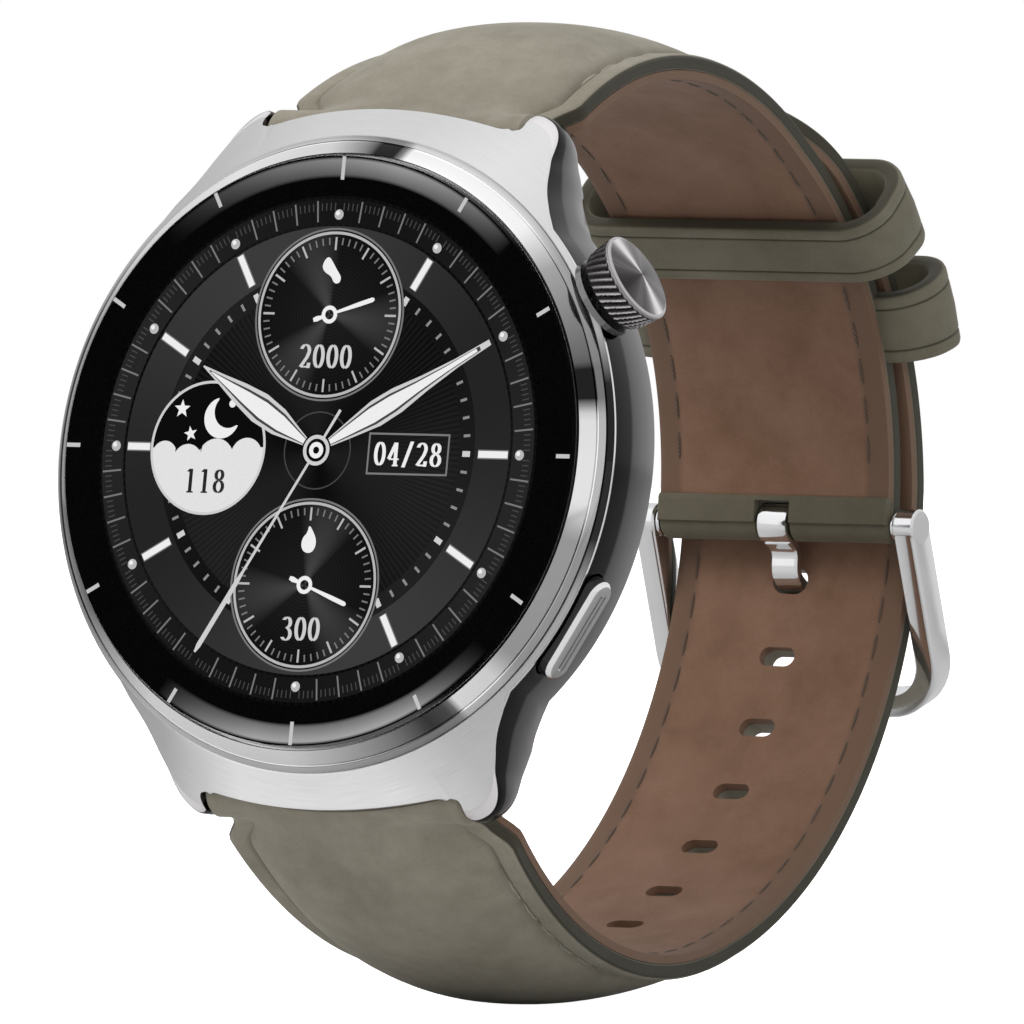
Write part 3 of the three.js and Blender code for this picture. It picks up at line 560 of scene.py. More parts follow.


# Painted reflection in the button's colour: share of the way from its foot to its face, grey level.
BUTTON_ZONES = [
    (0.0, 0.02),
    (0.78, 0.03),
    (0.8, 0.9),
    (0.93, 0.95),
    (0.95, 0.4),
    (0.985, 0.42),
]


def make_axes(name, matrix):
    empty = bpy.data.objects.new("axes_" + name, None)
    bpy.context.scene.collection.objects.link(empty)
    empty.matrix_world = matrix
    AXES[name] = empty


def brushed_case():
    """Satin on the front, with painted light and shade by angle round the dial; polished on the side, with
    a painted reflection of a black band and a pale room in its colour.
    """
    n = Nodes("case_steel")
    radius, angle, depth = n.polar()
    lines = n.noise(n.combine(n.times(radius, 9.0), n.times(angle, 2.2), 0.0), 3.0, 3.0)
    share = n.attribute("side")
    geometry = n.add("ShaderNodeNewGeometry")
    front = n.add("ShaderNodeVectorMath", operation="DOT_PRODUCT")
    n.link(geometry.outputs["Normal"], front.inputs[0])
    front.inputs[1].default_value = (WATCH.to_3x3() @ Vector((0, -1, 0))).normalized()
    satin = n.times(n.range(front.outputs["Value"], 0.2, 0.35), n.math("LESS_THAN", share, 0.02))
    cloud = n.noise(n.object_place(1.0), 0.12, 2.0)
    rough = n.mix(satin, n.range(cloud, 0.3, 0.7, 0.12, 0.18), n.range(lines, 0.3, 0.7, 0.27, 0.4))
    # Painted light and shade on the satin front, by angle round the dial, streaked along the brushing.
    turn = n.math("FRACT", n.plus(n.math("DIVIDE", angle, 2 * math.pi), 1.0))
    zones = n.grey_ramp(turn, *[(degrees / 360, level) for degrees, level in FACE_ZONES])
    streak = n.mix(n.range(lines, 0.3, 0.7), (0.93, 0.93, 0.93, 1), (1.05, 1.05, 1.055, 1))
    multiply = n.add("ShaderNodeMix", data_type="RGBA", blend_type="MULTIPLY")
    multiply.inputs["Factor"].default_value = 1.0
    n.link(zones, multiply.inputs[6])
    n.link(streak, multiply.inputs[7])
    # Painted reflection down the polished side: a black band, then a pale room towards the back.
    side = n.ramp(share, *[(place, (g, 0.975 * g, 0.985 * g)) for place, g in SIDE_ZONES])
    colour = n.mix(satin, side, multiply.outputs[2])
    level = n.add("ShaderNodeMix", data_type="VECTOR")
    n.link(n.times(satin, 0.65), level.inputs["Factor"])
    n.link(geometry.outputs["Normal"], level.inputs[4])
    level.inputs[5].default_value = front.inputs[1].default_value
    bump = n.bump(n.times(lines, satin), 0.006, 0.35)
    n.link(level.outputs[1], bump.inputs["Normal"])
    return n.surface(colour, rough, 1.0)


def polished_steel(name="polished_steel", tint=(0.72, 0.72, 0.735), rough=0.07):
    """Mirror-polished steel with faint swirls and wiping marks."""
    n = Nodes(name)
    place = n.object_place(1.0)
    cloud = n.noise(place, 0.15, 3.0)
    hair = n.noise(n.object_place((8.0, 1.0, 1.0)), 2.0, 3.0)
    shade = n.ramp(cloud, (0.3, tuple(0.95 * t for t in tint)), (0.7, tint))
    n.bump(hair, 0.002, 0.12)
    return n.surface(shade, n.range(cloud, 0.3, 0.7, rough, rough + 0.05), 1.0)


def bezel_steel():
    """Polished bezel: fine turning lines round the dial, on a mirror ground, with a painted reflection of
    light and dark zones in its colour.
    """
    n = Nodes("bezel_steel")
    radius, angle, _ = n.polar()
    lines = n.noise(n.combine(n.times(radius, 12.0), angle, 0.0), 3.0, 2.0)
    # Painted reflection: light and dark zones by angle round the dial, toned toward grey on the bezel's
    # outer part.
    turn = n.math("FRACT", n.plus(n.math("DIVIDE", angle, 2 * math.pi), 1.0))
    zones = n.grey_ramp(turn, *[(degrees / 360, level) for degrees, level in BEZEL_ZONES])
    outer = n.math("GREATER_THAN", radius, 22.8)
    shade = n.mix(n.times(outer, 0.6), zones, (0.36, 0.36, 0.37, 1))
    n.bump(lines, 0.001, 0.15)
    return n.surface(shade, n.range(lines, 0.3, 0.7, 0.08, 0.14), 1.0)


def crown_steel():
    """Dark steel with painted light in its colour: bright and dark sectors fanned out on the conical end,
    lit ridges on the teeth and shade at the foot; the end is brushed in rays.
    """
    n = Nodes("crown_steel")
    radius, angle, reach = n.polar("crown")
    cosine = n.times(n.math("COSINE", angle), 9.0)
    sine = n.times(n.math("SINE", angle), 9.0)
    rays = n.noise(n.combine(cosine, sine, 0.0), 3.0, 3.0)
    # Painted highlight: bright and dark sectors fanned out round the conical end, with the brushed rays
    # mixed in.
    wide = n.math("COSINE", n.plus(n.times(angle, 2.0), 0.7))
    narrow = n.math("COSINE", n.plus(n.times(angle, 6.0), 2.1))
    fan = n.plus(wide, n.times(narrow, 0.45))
    fan = n.plus(fan, n.times(n.math("SUBTRACT", rays, 0.5), 0.9))
    bright = n.ramp(
        n.range(fan, -1.4, 1.5),
        (0.0, (0.03, 0.027, 0.029)),
        (0.45, (0.1, 0.09, 0.094)),
        (0.75, (0.34, 0.32, 0.325)),
        (1.0, (0.95, 0.92, 0.93)),
    )
    rim = n.math("GREATER_THAN", radius, 3.12)
    face = n.mix(rim, bright, (0.55, 0.53, 0.54, 1))
    # Painted light on the teeth: bright on their ridges, dark between them, brighter on one side of the
    # crown.
    wave = n.plus(n.times(angle, CROWN_TEETH), n.times(reach, CROWN_TEETH * CROWN_SLANT))
    ridge = n.range(n.math("COSINE", wave), -0.3, 1.0)
    swing = n.range(n.math("COSINE", n.math("SUBTRACT", angle, 3.4)), -0.2, 1.0, 0.5, 1.0)
    toothed = n.ramp(
        n.times(ridge, swing),
        (0.0, (0.02, 0.018, 0.019)),
        (0.5, (0.13, 0.12, 0.125)),
        (1.0, (0.8, 0.77, 0.78)),
    )
    flank = n.mix(n.math("GREATER_THAN", reach, 1.6), toothed, (0.3, 0.285, 0.29, 1))
    colour = n.mix(n.math("GREATER_THAN", reach, 1.93), flank, face)
    # Painted shade at the foot of the knob, next to the case.
    colour = n.mix(n.math("LESS_THAN", reach, -0.2), colour, (0.02, 0.02, 0.02, 1))
    n.bump(rays, 0.003, 0.15)
    return n.surface(colour, 0.22, 1.0)


def button_steel():
    """Polished button with a painted reflection in its colour: dark round its foot, bright along its bevel,
    grey on its face.
    """
    n = Nodes("button_steel")
    _, _, reach = n.polar("button")
    hair = n.noise(n.object_place((6.0, 1.0, 1.0)), 2.0, 2.0)
    # Painted reflection: grey levels by the share of the way from the button's foot to its face.
    level = n.grey_ramp(n.range(reach, 22.5, 24.6), *BUTTON_ZONES)
    n.bump(hair, 0.001, 0.15)
    return n.surface(level, n.range(hair, 0.3, 0.7, 0.1, 0.18), 1.0)


def dark_steel():
    n = Nodes("dark_steel")
    cloud = n.noise(n.object_place(1.0), 1.4, 3.0)
    shade = n.ramp(cloud, (0.3, (0.19, 0.185, 0.19)), (0.7, (0.25, 0.245, 0.25)))
    n.bump(cloud, 0.004, 0.2)
    return n.surface(shade, n.range(cloud, 0.3, 0.7, 0.18, 0.3), 1.0)


def leather(name, low, high, edge_colour, grain):
    """Leather with cloudy tone, pores and short creases, dark along its painted edges."""
    n = Nodes(name)
    place = n.object_place(1.0)
    clouds = n.noise(place, 0.16, 4.0, 0.6)
    patches = n.noise(place, 0.55, 3.0, 0.65)
    fine = n.noise(place, 5.5, 3.0, 0.6)
    detail = n.plus(n.times(patches, 0.25), n.times(fine, 0.2))
    tone = n.plus(n.times(clouds, 0.55), detail)
    base = n.ramp(tone, (0.36, low), (0.64, high))
    edge = n.attribute("edge")
    colour = n.mix(n.range(edge, 0.1, 0.9), base, (*edge_colour, 1))
    pores = n.add("ShaderNodeTexVoronoi", feature="F1")
    n.link(place, pores.inputs["Vector"])
    pores.inputs["Scale"].default_value = 3.6
    cells = n.range(pores.outputs["Distance"], 0.0, 0.6)
    height = n.plus(n.times(cells, 0.6), n.times(fine, 0.5))
    n.bump(height, 0.035 * grain, 0.45)
    rough = n.range(tone, 0.35, 0.65, 0.78, 0.6)
    return n.surface(colour, rough, 0.0, Sheen_Weight=0.1, Sheen_Roughness=0.5, Specular_IOR_Level=0.35)


def thread(name, low, high):
    """Waxed thread with its twist showing."""
    n = Nodes(name)
    place = n.object_place(1.0)
    twist = n.add("ShaderNodeTexWave", wave_type="BANDS", bands_direction="DIAGONAL")
    n.link(place, twist.inputs["Vector"])
    twist.inputs["Scale"].default_value = 2.2
    twist.inputs["Distortion"].default_value = 1.0
    colour = n.ramp(twist.outputs["Fac"], (0.2, low), (0.8, high))
    n.bump(twist.outputs["Fac"], 0.03, 0.5)
    return n.surface(colour, 0.6, 0.0, Sheen_Weight=0.2)


def grained(name, low, high, rough, scale=1.5, metallic=0.0, bump=0.01, coat=0.0):
    """Moulded, painted or plated surface with a fine grain."""
    n = Nodes(name)
    grain = n.noise(n.object_place(1.0), scale, 4.0)
    n.bump(grain, bump, 0.3)
    colour = n.ramp(grain, (0.3, low), (0.7, high))
    return n.surface(colour, n.range(grain, 0.3, 0.7, rough, rough + 0.12), metallic, Coat_Weight=coat)


def board_material():
    """Green solder mask with pale tracks."""
    n = Nodes("circuit_board")
    place = n.object_place(1.0)
    bricks = n.add("ShaderNodeTexBrick")
    n.link(place, bricks.inputs["Vector"])
    bricks.inputs["Scale"].default_value = 0.5
    bricks.inputs["Color1"].default_value = (0.015, 0.09, 0.05, 1)
    bricks.inputs["Color2"].default_value = (0.02, 0.12, 0.07, 1)
    bricks.inputs["Mortar"].default_value = (0.10, 0.30, 0.16, 1)
    bricks.inputs["Mortar Size"].default_value = 0.012
    return n.surface(bricks.outputs["Color"], 0.35, 0.0, Coat_Weight=0.3)


def copper_winding():
    n = Nodes("copper_winding")
    radius, _, _ = n.polar()
    turns = n.math("SINE", n.times(radius, 25.0))
    colour = n.ramp(n.range(turns, -1.0, 1.0), (0.1, (0.25, 0.09, 0.03)), (0.9, (0.75, 0.36, 0.17)))
    n.bump(turns, 0.05, 0.6)
    return n.surface(colour, 0.28, 1.0)


def glow(n, colour, strength):
    """Makes a node material shine by itself, with a clear dark gloss left to the glass above."""
    n.put(n.shader.inputs["Emission Color"], colour)
    n.put(n.shader.inputs["Emission Strength"], strength)
    return n.surface((0.0, 0.0, 0.0, 1), 0.6, 0.0, Specular_IOR_Level=0.0)


def lit(name, level, tint=(1.0, 1.0, 1.0)):
    """Lit pixels of the display: a level with a faint pixel grain."""
    n = Nodes(name)
    grain = n.noise(n.object_place(1.0), 14.0, 2.0)
    low = tuple(0.94 * level * t for t in tint)
    high = tuple(1.04 * level * t for t in tint)
    return glow(n, n.ramp(grain, (0.3, low), (0.7, high)), 1.0)


def dial_ground():
    """The lit picture's ground: near black, with fine rays and a cloudy sheen."""
    n = Nodes("dial_ground")
    radius, angle, _ = n.polar()
    rays = n.math("SINE", n.times(angle, 180.0))
    sheen = n.math("COSINE", n.plus(n.times(angle, 3.0), 0.9))
    spread = n.range(radius, 2.0, 9.0)
    fan = n.times(n.range(rays, -1.0, 1.0, 0.0, 0.006), spread)
    level = n.plus(n.range(sheen, -1.0, 1.0, 0.0035, 0.012), fan)
    lower = n.range(radius, 11.5, 18.6, 1.0, 0.35)
    level = n.times(level, lower)
    return glow(n, n.combine(level, level, level), 1.0)


def dial_band(name, low, high, turns, phase):
    """A grey ring of the picture whose tone swings softly round the dial."""
    n = Nodes(name)
    radius, angle, _ = n.polar()
    swing = n.math("COSINE", n.plus(n.times(angle, turns), phase))
    grain = n.noise(n.object_place(1.0), 10.0, 2.0)
    level = n.plus(n.range(swing, -1.0, 1.0, low, high), n.range(grain, 0.3, 0.7, 0.0, 0.003))
    return glow(n, n.combine(level, level, level), 1.0)


def small_dial(name, centre, phase):
    """A small dial with a fan of light about its centre."""
    n = Nodes(name)
    radius, angle, _ = n.polar(centre=centre)
    fan = n.math("COSINE", n.plus(n.times(angle, 3.0), phase))
    rings = n.math("SINE", n.times(radius, 26.0))
    level = n.plus(n.range(fan, 0.1, 1.0, 0.008, 0.045), n.range(rings, -1.0, 1.0, 0.0, 0.004))
    level = n.times(level, n.range(radius, 0.0, 5.8, 1.25, 0.6))
    return glow(n, n.combine(level, level, level), 1.0)


def clear_glass():
    """Clear glass: it only adds its reflection, so what lies under it stays sharp."""
    n = Nodes("cover_glass")
    fresnel = n.add("ShaderNodeFresnel")
    fresnel.inputs["IOR"].default_value = 1.5
    gloss = n.add("ShaderNodeBsdfGlossy")
    gloss.inputs["Roughness"].default_value = 0.02
    smudge = n.noise(n.object_place(1.0), 0.2, 3.0)
    n.link(n.range(smudge, 0.3, 0.7, 0.01, 0.03), gloss.inputs["Roughness"])
    clear = n.add("ShaderNodeBsdfTransparent")
    blend = n.add("ShaderNodeMixShader")
    n.link(n.range(fresnel.outputs[0], 0.3, 1.0, 0.0, 0.5), blend.inputs[0])
    n.link(clear.outputs[0], blend.inputs[1])
    n.link(gloss.outputs[0], blend.inputs[2])
    n.link(blend.outputs[0], n.output.inputs["Surface"])
    return n.material


def black_border():
    """Black print under the rim of the glass, with painted highlights: soft grey light glows in it at
    twelve and six, growing toward the rim.
    """
    n = Nodes("black_border")
    radius, angle, _ = n.polar()
    grain = n.noise(n.object_place(1.0), 8.0, 2.0)
    up = n.math("SINE", angle)
    right = n.math("COSINE", angle)
    # Painted highlights: soft grey light at twelve and six, growing toward the rim, glowing in the black
    # print.
    top = n.times(n.range(up, 0.72, 0.97), n.range(right, -0.75, 0.2))
    bottom = n.times(n.range(up, -0.62, -0.93), n.range(right, -0.55, -0.15))
    bottom = n.times(bottom, n.range(right, 0.75, 0.5))
    rim = n.range(radius, 20.1, 21.5, 0.35, 1.0)
    cut = n.times(n.range(radius, 19.9, 20.15), n.range(radius, 21.4, 21.2))
    light = n.times(n.plus(n.times(top, 0.36), n.times(bottom, 0.42)), n.times(rim, cut))
    level = n.plus(light, n.range(grain, 0.3, 0.7, 0.001, 0.003))
    return glow(n, n.combine(level, level, level), 1.0)


def pale_floor():
    n = Nodes("pale_floor")
    grain = n.noise(n.object_place(0.05), 1.0, 3.0)
    colour = n.ramp(grain, (0.3, (0.83, 0.83, 0.83)), (0.7, (0.85, 0.85, 0.85)))
    rays = n.add("ShaderNodeLightPath")
    n.link(rays.outputs["Is Camera Ray"], n.shader.inputs["Emission Strength"])
    return n.surface(colour, 0.7, 0.0, Specular_IOR_Level=0.1, Emission_Color=(1, 1, 1, 1))


# ---- Case --------------------------------------------------------------------------------------


def quarter_edge():
    """Front edge of the mid frame from twelve o'clock to three o'clock, as (x, z, depth)."""
    points = []
    for i in range(6):
        t = i / 6
        sag = t * t
        z = lerp(LIP[0], LIP_CORNER[1], sag)
        points.append((LIP_CORNER[0] * t, z, lerp(LIP[1], LIP_CORNER[2], sag)))
    points.append(LIP_CORNER)
    points.extend(LUG_EDGE)
    points = chaikin(points, 3)
    steps = 26
    for i in range(steps + 1):
        angle = LUG_ROOT_ANGLE * (1 - i / steps) * 0.985
        points.append((FRAME_RADIUS * math.cos(angle), FRAME_RADIUS * math.sin(angle), SIDE_DEPTH))
    return points


def full_edge():
    quarter = quarter_edge()
    right = quarter + [(x, -z, y) for x, z, y in reversed(quarter[:-1])]
    left = [(-x, z, y) for x, z, y in reversed(right[1:-1])]
    return right + left


# Share of the way down the side at each point of frame_section; 0 on the front, 1 on the back.
SIDE_SHARE = [0, 0, 0, 0, 0, 0, 0, 0, 0.0, 0.03, 0.05, 0.08, 0.38, 0.68, 0.92, 0.97, 1, 1, 1]


def frame_section(x, z, depth):
    """Section through the mid frame's wall under one point of its front edge."""
    reach = math.hypot(x, z)
    lug = min(max((reach - FRAME_RADIUS) / 1.5, 0), 1)
    chamfer = 0.7 * min(max((depth - 5.4) / 1.2, 0), 1)
    start = (BEZEL_OUTER + 0.08, BEZEL_SEAT + 0.05)
    section = [(FRAME_BORE, LEDGE), (BEZEL_INNER - 0.05, LEDGE), (BEZEL_INNER - 0.05, BEZEL_SEAT), start]
    for t in (0.12, 0.35, 0.65, 0.9):
        sag = 0.35 * math.sin(math.pi * t) * min((reach - start[0]) / 3, 1)
        section.append((lerp(start[0], reach, t), lerp(start[1], depth, t) + sag))
    section.append((reach - 0.04, depth + 0.01))
    section.append((reach + 0.03, depth + 0.1))
    section.append((reach + 0.03 + 0.9 * chamfer, depth + 0.22 + 0.9 * chamfer))
    section.append((reach + 0.05 + chamfer, depth + 0.4 + chamfer))
    back_depth = lerp(8.1, 9.2, lug)
    for t in (0.35, 0.7):
        section.append((reach + 0.05 + chamfer - 0.1 * t, lerp(depth + 0.4 + chamfer, back_depth, t)))
    section.append((reach + 0.8 * chamfer, back_depth))
    section.append((reach + 0.7 * chamfer - lerp(0.3, 0.1, lug), back_depth + 0.35))
    section.append((reach - lerp(1.1, 0.2, lug), FRAME_BACK - lerp(0.5, 0.05, lug)))
    section.append((FRAME_BACK_RADIUS, FRAME_BACK))
    section.append((FRAME_BORE, FRAME_BACK))
    return [(x / reach * r, y, z / reach * r) for r, y in section]


def rounded_box(name, size, centre, material, radius=0.4):
    bm = bmesh.new()
    bmesh.ops.create_cube(bm, size=1)
    bmesh.ops.scale(bm, vec=size, verts=bm.verts)
    bmesh.ops.bevel(bm, geom=bm.edges[:], offset=radius, segments=4, affect="EDGES", profile=0.5)
    bmesh.ops.translate(bm, vec=centre, verts=bm.verts)
    bm.transform(WATCH)
    mesh = bpy.data.meshes.new(name)
    bm.to_mesh(mesh)
    bm.free()
    return finish_object(name, mesh, material)


def side_matrix(angle, depth):
    """Axes whose +Y runs out along a radius of the case, for the crown and the button."""
    out = Vector((math.cos(angle), 0, math.sin(angle)))
    along = Vector((-math.sin(angle), 0, math.cos(angle)))
    deep = out.cross(along)
    columns = Matrix((along, out, -deep)).transposed().to_4x4()
    return WATCH @ Matrix.Translation((0, depth, 0)) @ columns


def case(materials):
    steel = materials["case"]
    outlines = [frame_section(*edge) for edge in full_edge()]
    points = [p for outline in outlines for p in outline]
    around = len(SIDE_SHARE)
    body = plain_mesh("mid_frame_shell", points, grid_faces(len(outlines), around, True, True), steel)
    share = body.data.attributes.new("side", "FLOAT", "CORNER")
    share.data.foreach_set("value", [SIDE_SHARE[loop.vertex_index % around] for loop in body.data.loops])
    cutters = []
    for end in (1, -1):
        size = (2 * RECESS_HALF_WIDTH, 10, 10)
        place = (0, LIP_UNDERSIDE + 5, end * (RECESS_Z + 5))
        cutters.append(rounded_box("recess", size, place, steel, 0.5))
        for side in (1, -1):
            inner, outer = [(side * x, BAR[0], end * BAR[1]) for x in BAR_HOLE_REACH]
            cutters.append(rod("bar_hole", BAR_HOLE_RADIUS, inner, outer, steel))
    crown_axes = side_matrix(CROWN_ANGLE, CROWN_DEPTH)
    cutters.append(rod("crown_hole", CROWN_HOLE, (0, 19, 0), (0, 27, 0), steel, matrix=crown_axes))
    length, width = [half + POCKET_GAP for half in BUTTON_HALVES]
    cutters.append(pill("button_pocket", length, width, 22.15, 27, steel, 0.02))
    boolean_cut(body, cutters)
    fit(body, MAIN, "mid_frame")

    profile = [
        (21.75, 0.72),
        (21.8, 0.64),
        (21.95, 0.76),
        (22.62, 1.42),
        (22.7, 1.52),
        (22.73, 1.68),
        (22.8, 1.69),
        (22.86, 1.6),
        (23.1, 1.74),
        (23.22, 1.88),
        (23.25, 1.97),
        (23.2, 2.03),
        (21.75, 2.03),
    ]
    bezel = lathe("bezel_band", profile, materials["bezel"], steps=288, sharp=28)
    fit(bezel, MAIN, "bezel_ring")


def pill(name, half_length, half_width, start, end, material, chamfer, groove=False):
    """A stadium block on the button's radius, long round the case."""
    def ring(grow, reach):
        outline = []
        straight = half_length - half_width
        radius = half_width + grow
        for end in (1, -1):
            for i in range(20):
                angle = -end * math.pi / 2 + math.pi * i / 19
                outline.append((end * straight + radius * math.cos(angle), reach, radius * math.sin(angle)))
        return outline

    rings = [ring(0, start), ring(0, end - 1.4 * chamfer)]
    rings.append(ring(-0.15 * chamfer, end - chamfer))
    rings.append(ring(-chamfer, end - 0.1 * chamfer))
    rings.append(ring(-1.3 * chamfer, end))
    if groove:
        rings.append(ring(-half_width + 0.34, end + 0.02))
        rings.append(ring(-half_width + 0.3, end - 0.12))
        rings.append(ring(-half_width + 0.2, end - 0.12))
        rings.append(ring(-half_width + 0.16, end + 0.02))
        rings.append(ring(-half_width + 0.05, end + 0.02))
    return skin(name, rings, material, matrix=side_matrix(BUTTON_ANGLE, BUTTON_DEPTH))


def glass(materials):
    """The cover glass: flat in the middle, rounded down to its rim."""
    flat_radius = 19.4
    rim_radius = 21.65
    rim_depth = 0.45
    front = -0.85
    back = 0.65
    profile = [(0.02, back), (21.55, back), (rim_radius, 0.55), (rim_radius, rim_depth)]
    steps = 14
    for i in range(1, steps + 1):
        angle = i / steps * math.pi / 2
        r = lerp(flat_radius, rim_radius, math.cos(angle))
        profile.append((r, lerp(rim_depth, front, math.sin(angle))))
    profile.append((0.02, front))
    cover = lathe("cover_glass_dome", profile, materials["glass"], steps=256, sharp=60)
    fit(cover, MAIN, "cover_glass")


# Outline of the crown's knob: reach from its foot, radius, depth of the teeth.
CROWN_PROFILE = [
    (-0.45, 2.1, 0),
    (-0.43, 2.85, 0),
    (-0.3, 3.05, 0),
    (-0.15, 3.12, 0.4),
    (0.05, 3.22, 1),
    (0.35, 3.27, 1),
    (0.65, 3.31, 1),
    (0.95, 3.34, 1),
    (1.25, 3.37, 1),
    (1.5, 3.38, 1),
    (1.62, 3.36, 0.4),
    (1.66, 3.24, 0),
    (1.71, 3.24, 0),
    (1.75, 3.38, 0),
    (1.88, 3.39, 0),
    (1.98, 3.3, 0),
    (2.05, 3.05, 0),
    (2.3, 1.2, 0),
    (2.4, 0.25, 0),
    (2.4, 0.02, 0),
]
CROWN_SLANT = 0.16


def crown(materials):
    """Knurled crown with slanted teeth between two polished rims, and a brushed conical end."""
    axes = side_matrix(CROWN_ANGLE, CROWN_DEPTH)
    matrix = axes @ Matrix.Translation((0, CROWN_FOOT, 0))
    steps = CROWN_TEETH * 8
    outlines = []
    for reach, radius, tooth in CROWN_PROFILE:
        ring = []
        for i in range(steps):
            angle = 2 * math.pi * i / steps
            wave = math.cos(CROWN_TEETH * (angle + CROWN_SLANT * reach))
            r = radius + tooth * 0.13 * (wave - 1)
            ring.append((r * math.cos(angle), reach, r * math.sin(angle)))
        outlines.append(ring)
    cap = skin("crown_knob", outlines, materials["crown"], matrix=matrix, sharp=50)
    fit(cap, "crown", "crown_cap")


def button(materials):
    cap = pill("button_bar", *BUTTON_HALVES, 22.65, 24.55, materials["button"], 0.3, groove=True)
    fit(cap, "button", "button_cap")


# ---- The lit picture ---------------------------------------------------------------------------


def oval(x, z, wide, high, start=0, end=360, steps=24):
    """Points of an oval arc between two angles in degrees."""
    angles = [(start + (end - start) * i / steps) * DEG for i in range(steps + 1)]
    return [(x + wide * math.cos(a), z + high * math.sin(a)) for a in angles]


# Strokes of the serif figures, one unit high and about 0.6 wide.
FIGURES = {
    "0": [oval(0.33, 0.5, 0.2, 0.47)],
    "1": [[(0.34, 0.02), (0.34, 0.98)], [(0.34, 0.98), (0.2, 0.86)], [(0.18, 0.02), (0.5, 0.02)]],
    "2": [
        oval(0.32, 0.73, 0.19, 0.24, 165, -25, 16) + [(0.42, 0.45), (0.14, 0.05)],
        [(0.14, 0.05), (0.5, 0.05)],
        [(0.5, 0.0), (0.53, 0.22)],
    ],
    "3": [oval(0.31, 0.75, 0.17, 0.22, 150, -80, 14) + oval(0.31, 0.27, 0.2, 0.25, 90, -150, 18)],
    "4": [
        [(0.42, 0.02), (0.42, 0.97)],
        [(0.4, 0.97), (0.1, 0.3)],
        [(0.1, 0.28), (0.58, 0.28)],
        [(0.28, 0.02), (0.56, 0.02)],
    ],
    "8": [oval(0.33, 0.75, 0.16, 0.21), oval(0.33, 0.27, 0.2, 0.25)],
    "/": [[(0.14, -0.05), (0.5, 1.03)]],
}


def spot(centre, angle, reach, aside=0):
    """The place some way along a direction from a centre, and some way to the left of it."""
    x = centre[0] + math.cos(angle) * reach - math.sin(angle) * aside
    z = centre[1] + math.sin(angle) * reach + math.cos(angle) * aside
    return x, z


class Picture:
    """Flat shapes on one layer of the display, gathered into one object."""

    def __init__(self, name, depth, material):
        self.name = name
        self.depth = depth
        self.material = material
        self.points = []
        self.faces = []

    def polygon(self, outline):
        start = len(self.points)
        self.points.extend((x, self.depth, z) for x, z in outline)
        self.faces.append(tuple(range(start, len(self.points))))

    def ring(self, inner, outer, centre=(0, 0), steps=128, start=0, sweep=2 * math.pi):
        first = len(self.points)
        count = steps if abs(sweep - 2 * math.pi) < 1e-6 else steps + 1
        for i in range(count):
            angle = start + sweep * i / steps
            for radius in (inner, outer):
                x, z = spot(centre, angle, radius)
                self.points.append((x, self.depth, z))
        for i in range(steps):
            a = first + 2 * i
            b = first + 2 * ((i + 1) % count)
            self.faces.append((a, a + 1, b + 1, b))

    def disc(self, radius, centre=(0, 0), steps=48):
        self.polygon([spot(centre, 2 * math.pi * i / steps, radius) for i in range(steps)])

    def bar(self, angle, inner, outer, width, centre=(0, 0)):
        """A bar on a radius."""
        corners = ((inner, -width / 2), (outer, -width / 2), (outer, width / 2), (inner, width / 2))
        self.polygon([spot(centre, angle, r, w) for r, w in corners])

    def hand(self, angle, stations, centre=(0, 0)):
        """A hand from (reach, half width) stations."""
        left = [spot(centre, angle, r, w) for r, w in stations]
        right = [spot(centre, angle, r, -w) for r, w in reversed(stations)]
        self.polygon(left + right)

    def stroke(self, line, nib=(0.11, 0.035)):
        """A line drawn with a broad nib: thick where it runs upright, thin where it runs level."""
        for (x0, z0), (x1, z1) in zip(line, line[1:]):
            length = math.hypot(x1 - x0, z1 - z0)
            if length < 1e-9:
                continue
            across = (-(z1 - z0) / length, (x1 - x0) / length)
            size = math.hypot(nib[0] * across[0], nib[1] * across[1])
            u = nib[0] ** 2 * across[0] / size
            v = nib[1] ** 2 * across[1] / size
            self.polygon([(x0 - u, z0 - v), (x1 - u, z1 - v), (x1 + u, z1 + v), (x0 + u, z0 + v)])

    def number(self, figures, height, centre, pitch=0.66):
        """Serif figures of a given height, centred on a point."""
        for i, figure in enumerate(figures):
            left = (i - len(figures) / 2) * pitch
            for line in FIGURES[figure]:
                spots = [(centre[0] + (left + u) * height, centre[1] + (v - 0.5) * height) for u, v in line]
                self.stroke(spots, (0.085 * height, 0.032 * height))

    def make(self):
        fit(mesh_object(self.name, self.points, self.faces, self.material), MAIN)


def star(radius, centre, turn=0.0):
    outline = []
    for i in range(10):
        r = radius if i % 2 == 0 else radius * 0.42
        angle = math.pi / 2 + turn + i * math.pi / 5
        outline.append(spot(centre, angle, r))
    return outline


def crescent(radius, centre, turn):
    """A moon: a circle with an offset circle taken out."""
    outline = []
    for i in range(31):
        angle = turn + 62 * DEG + (360 - 124) * DEG * i / 30
        outline.append(spot(centre, angle, radius))
    inner = 0.82 * radius
    away = spot(centre, turn, 0.5 * radius)
    for i in range(29, 0, -1):
        angle = turn + 92 * DEG + (360 - 184) * DEG * i / 30
        outline.append(spot(away, angle, inner))
    return outline


# Depth of the picture's ground, and the step between its layers.
DEPTH = 0.12
LAYER = 0.02

# Rings of the picture: name, inner and outer radius, layer, steps, material.
RINGS = [
    ("border", 18.55, 21.5, 0, 256, "border"),
    ("minute_track", 16.55, 18.35, 1, 160, "track"),
    ("hour_ring", 13.35, 16.35, 1, 160, "ring"),
    ("inner_ring", 12.1, 13.3, 1, 160, "inner"),
]
GROUND_RADIUS = 18.6

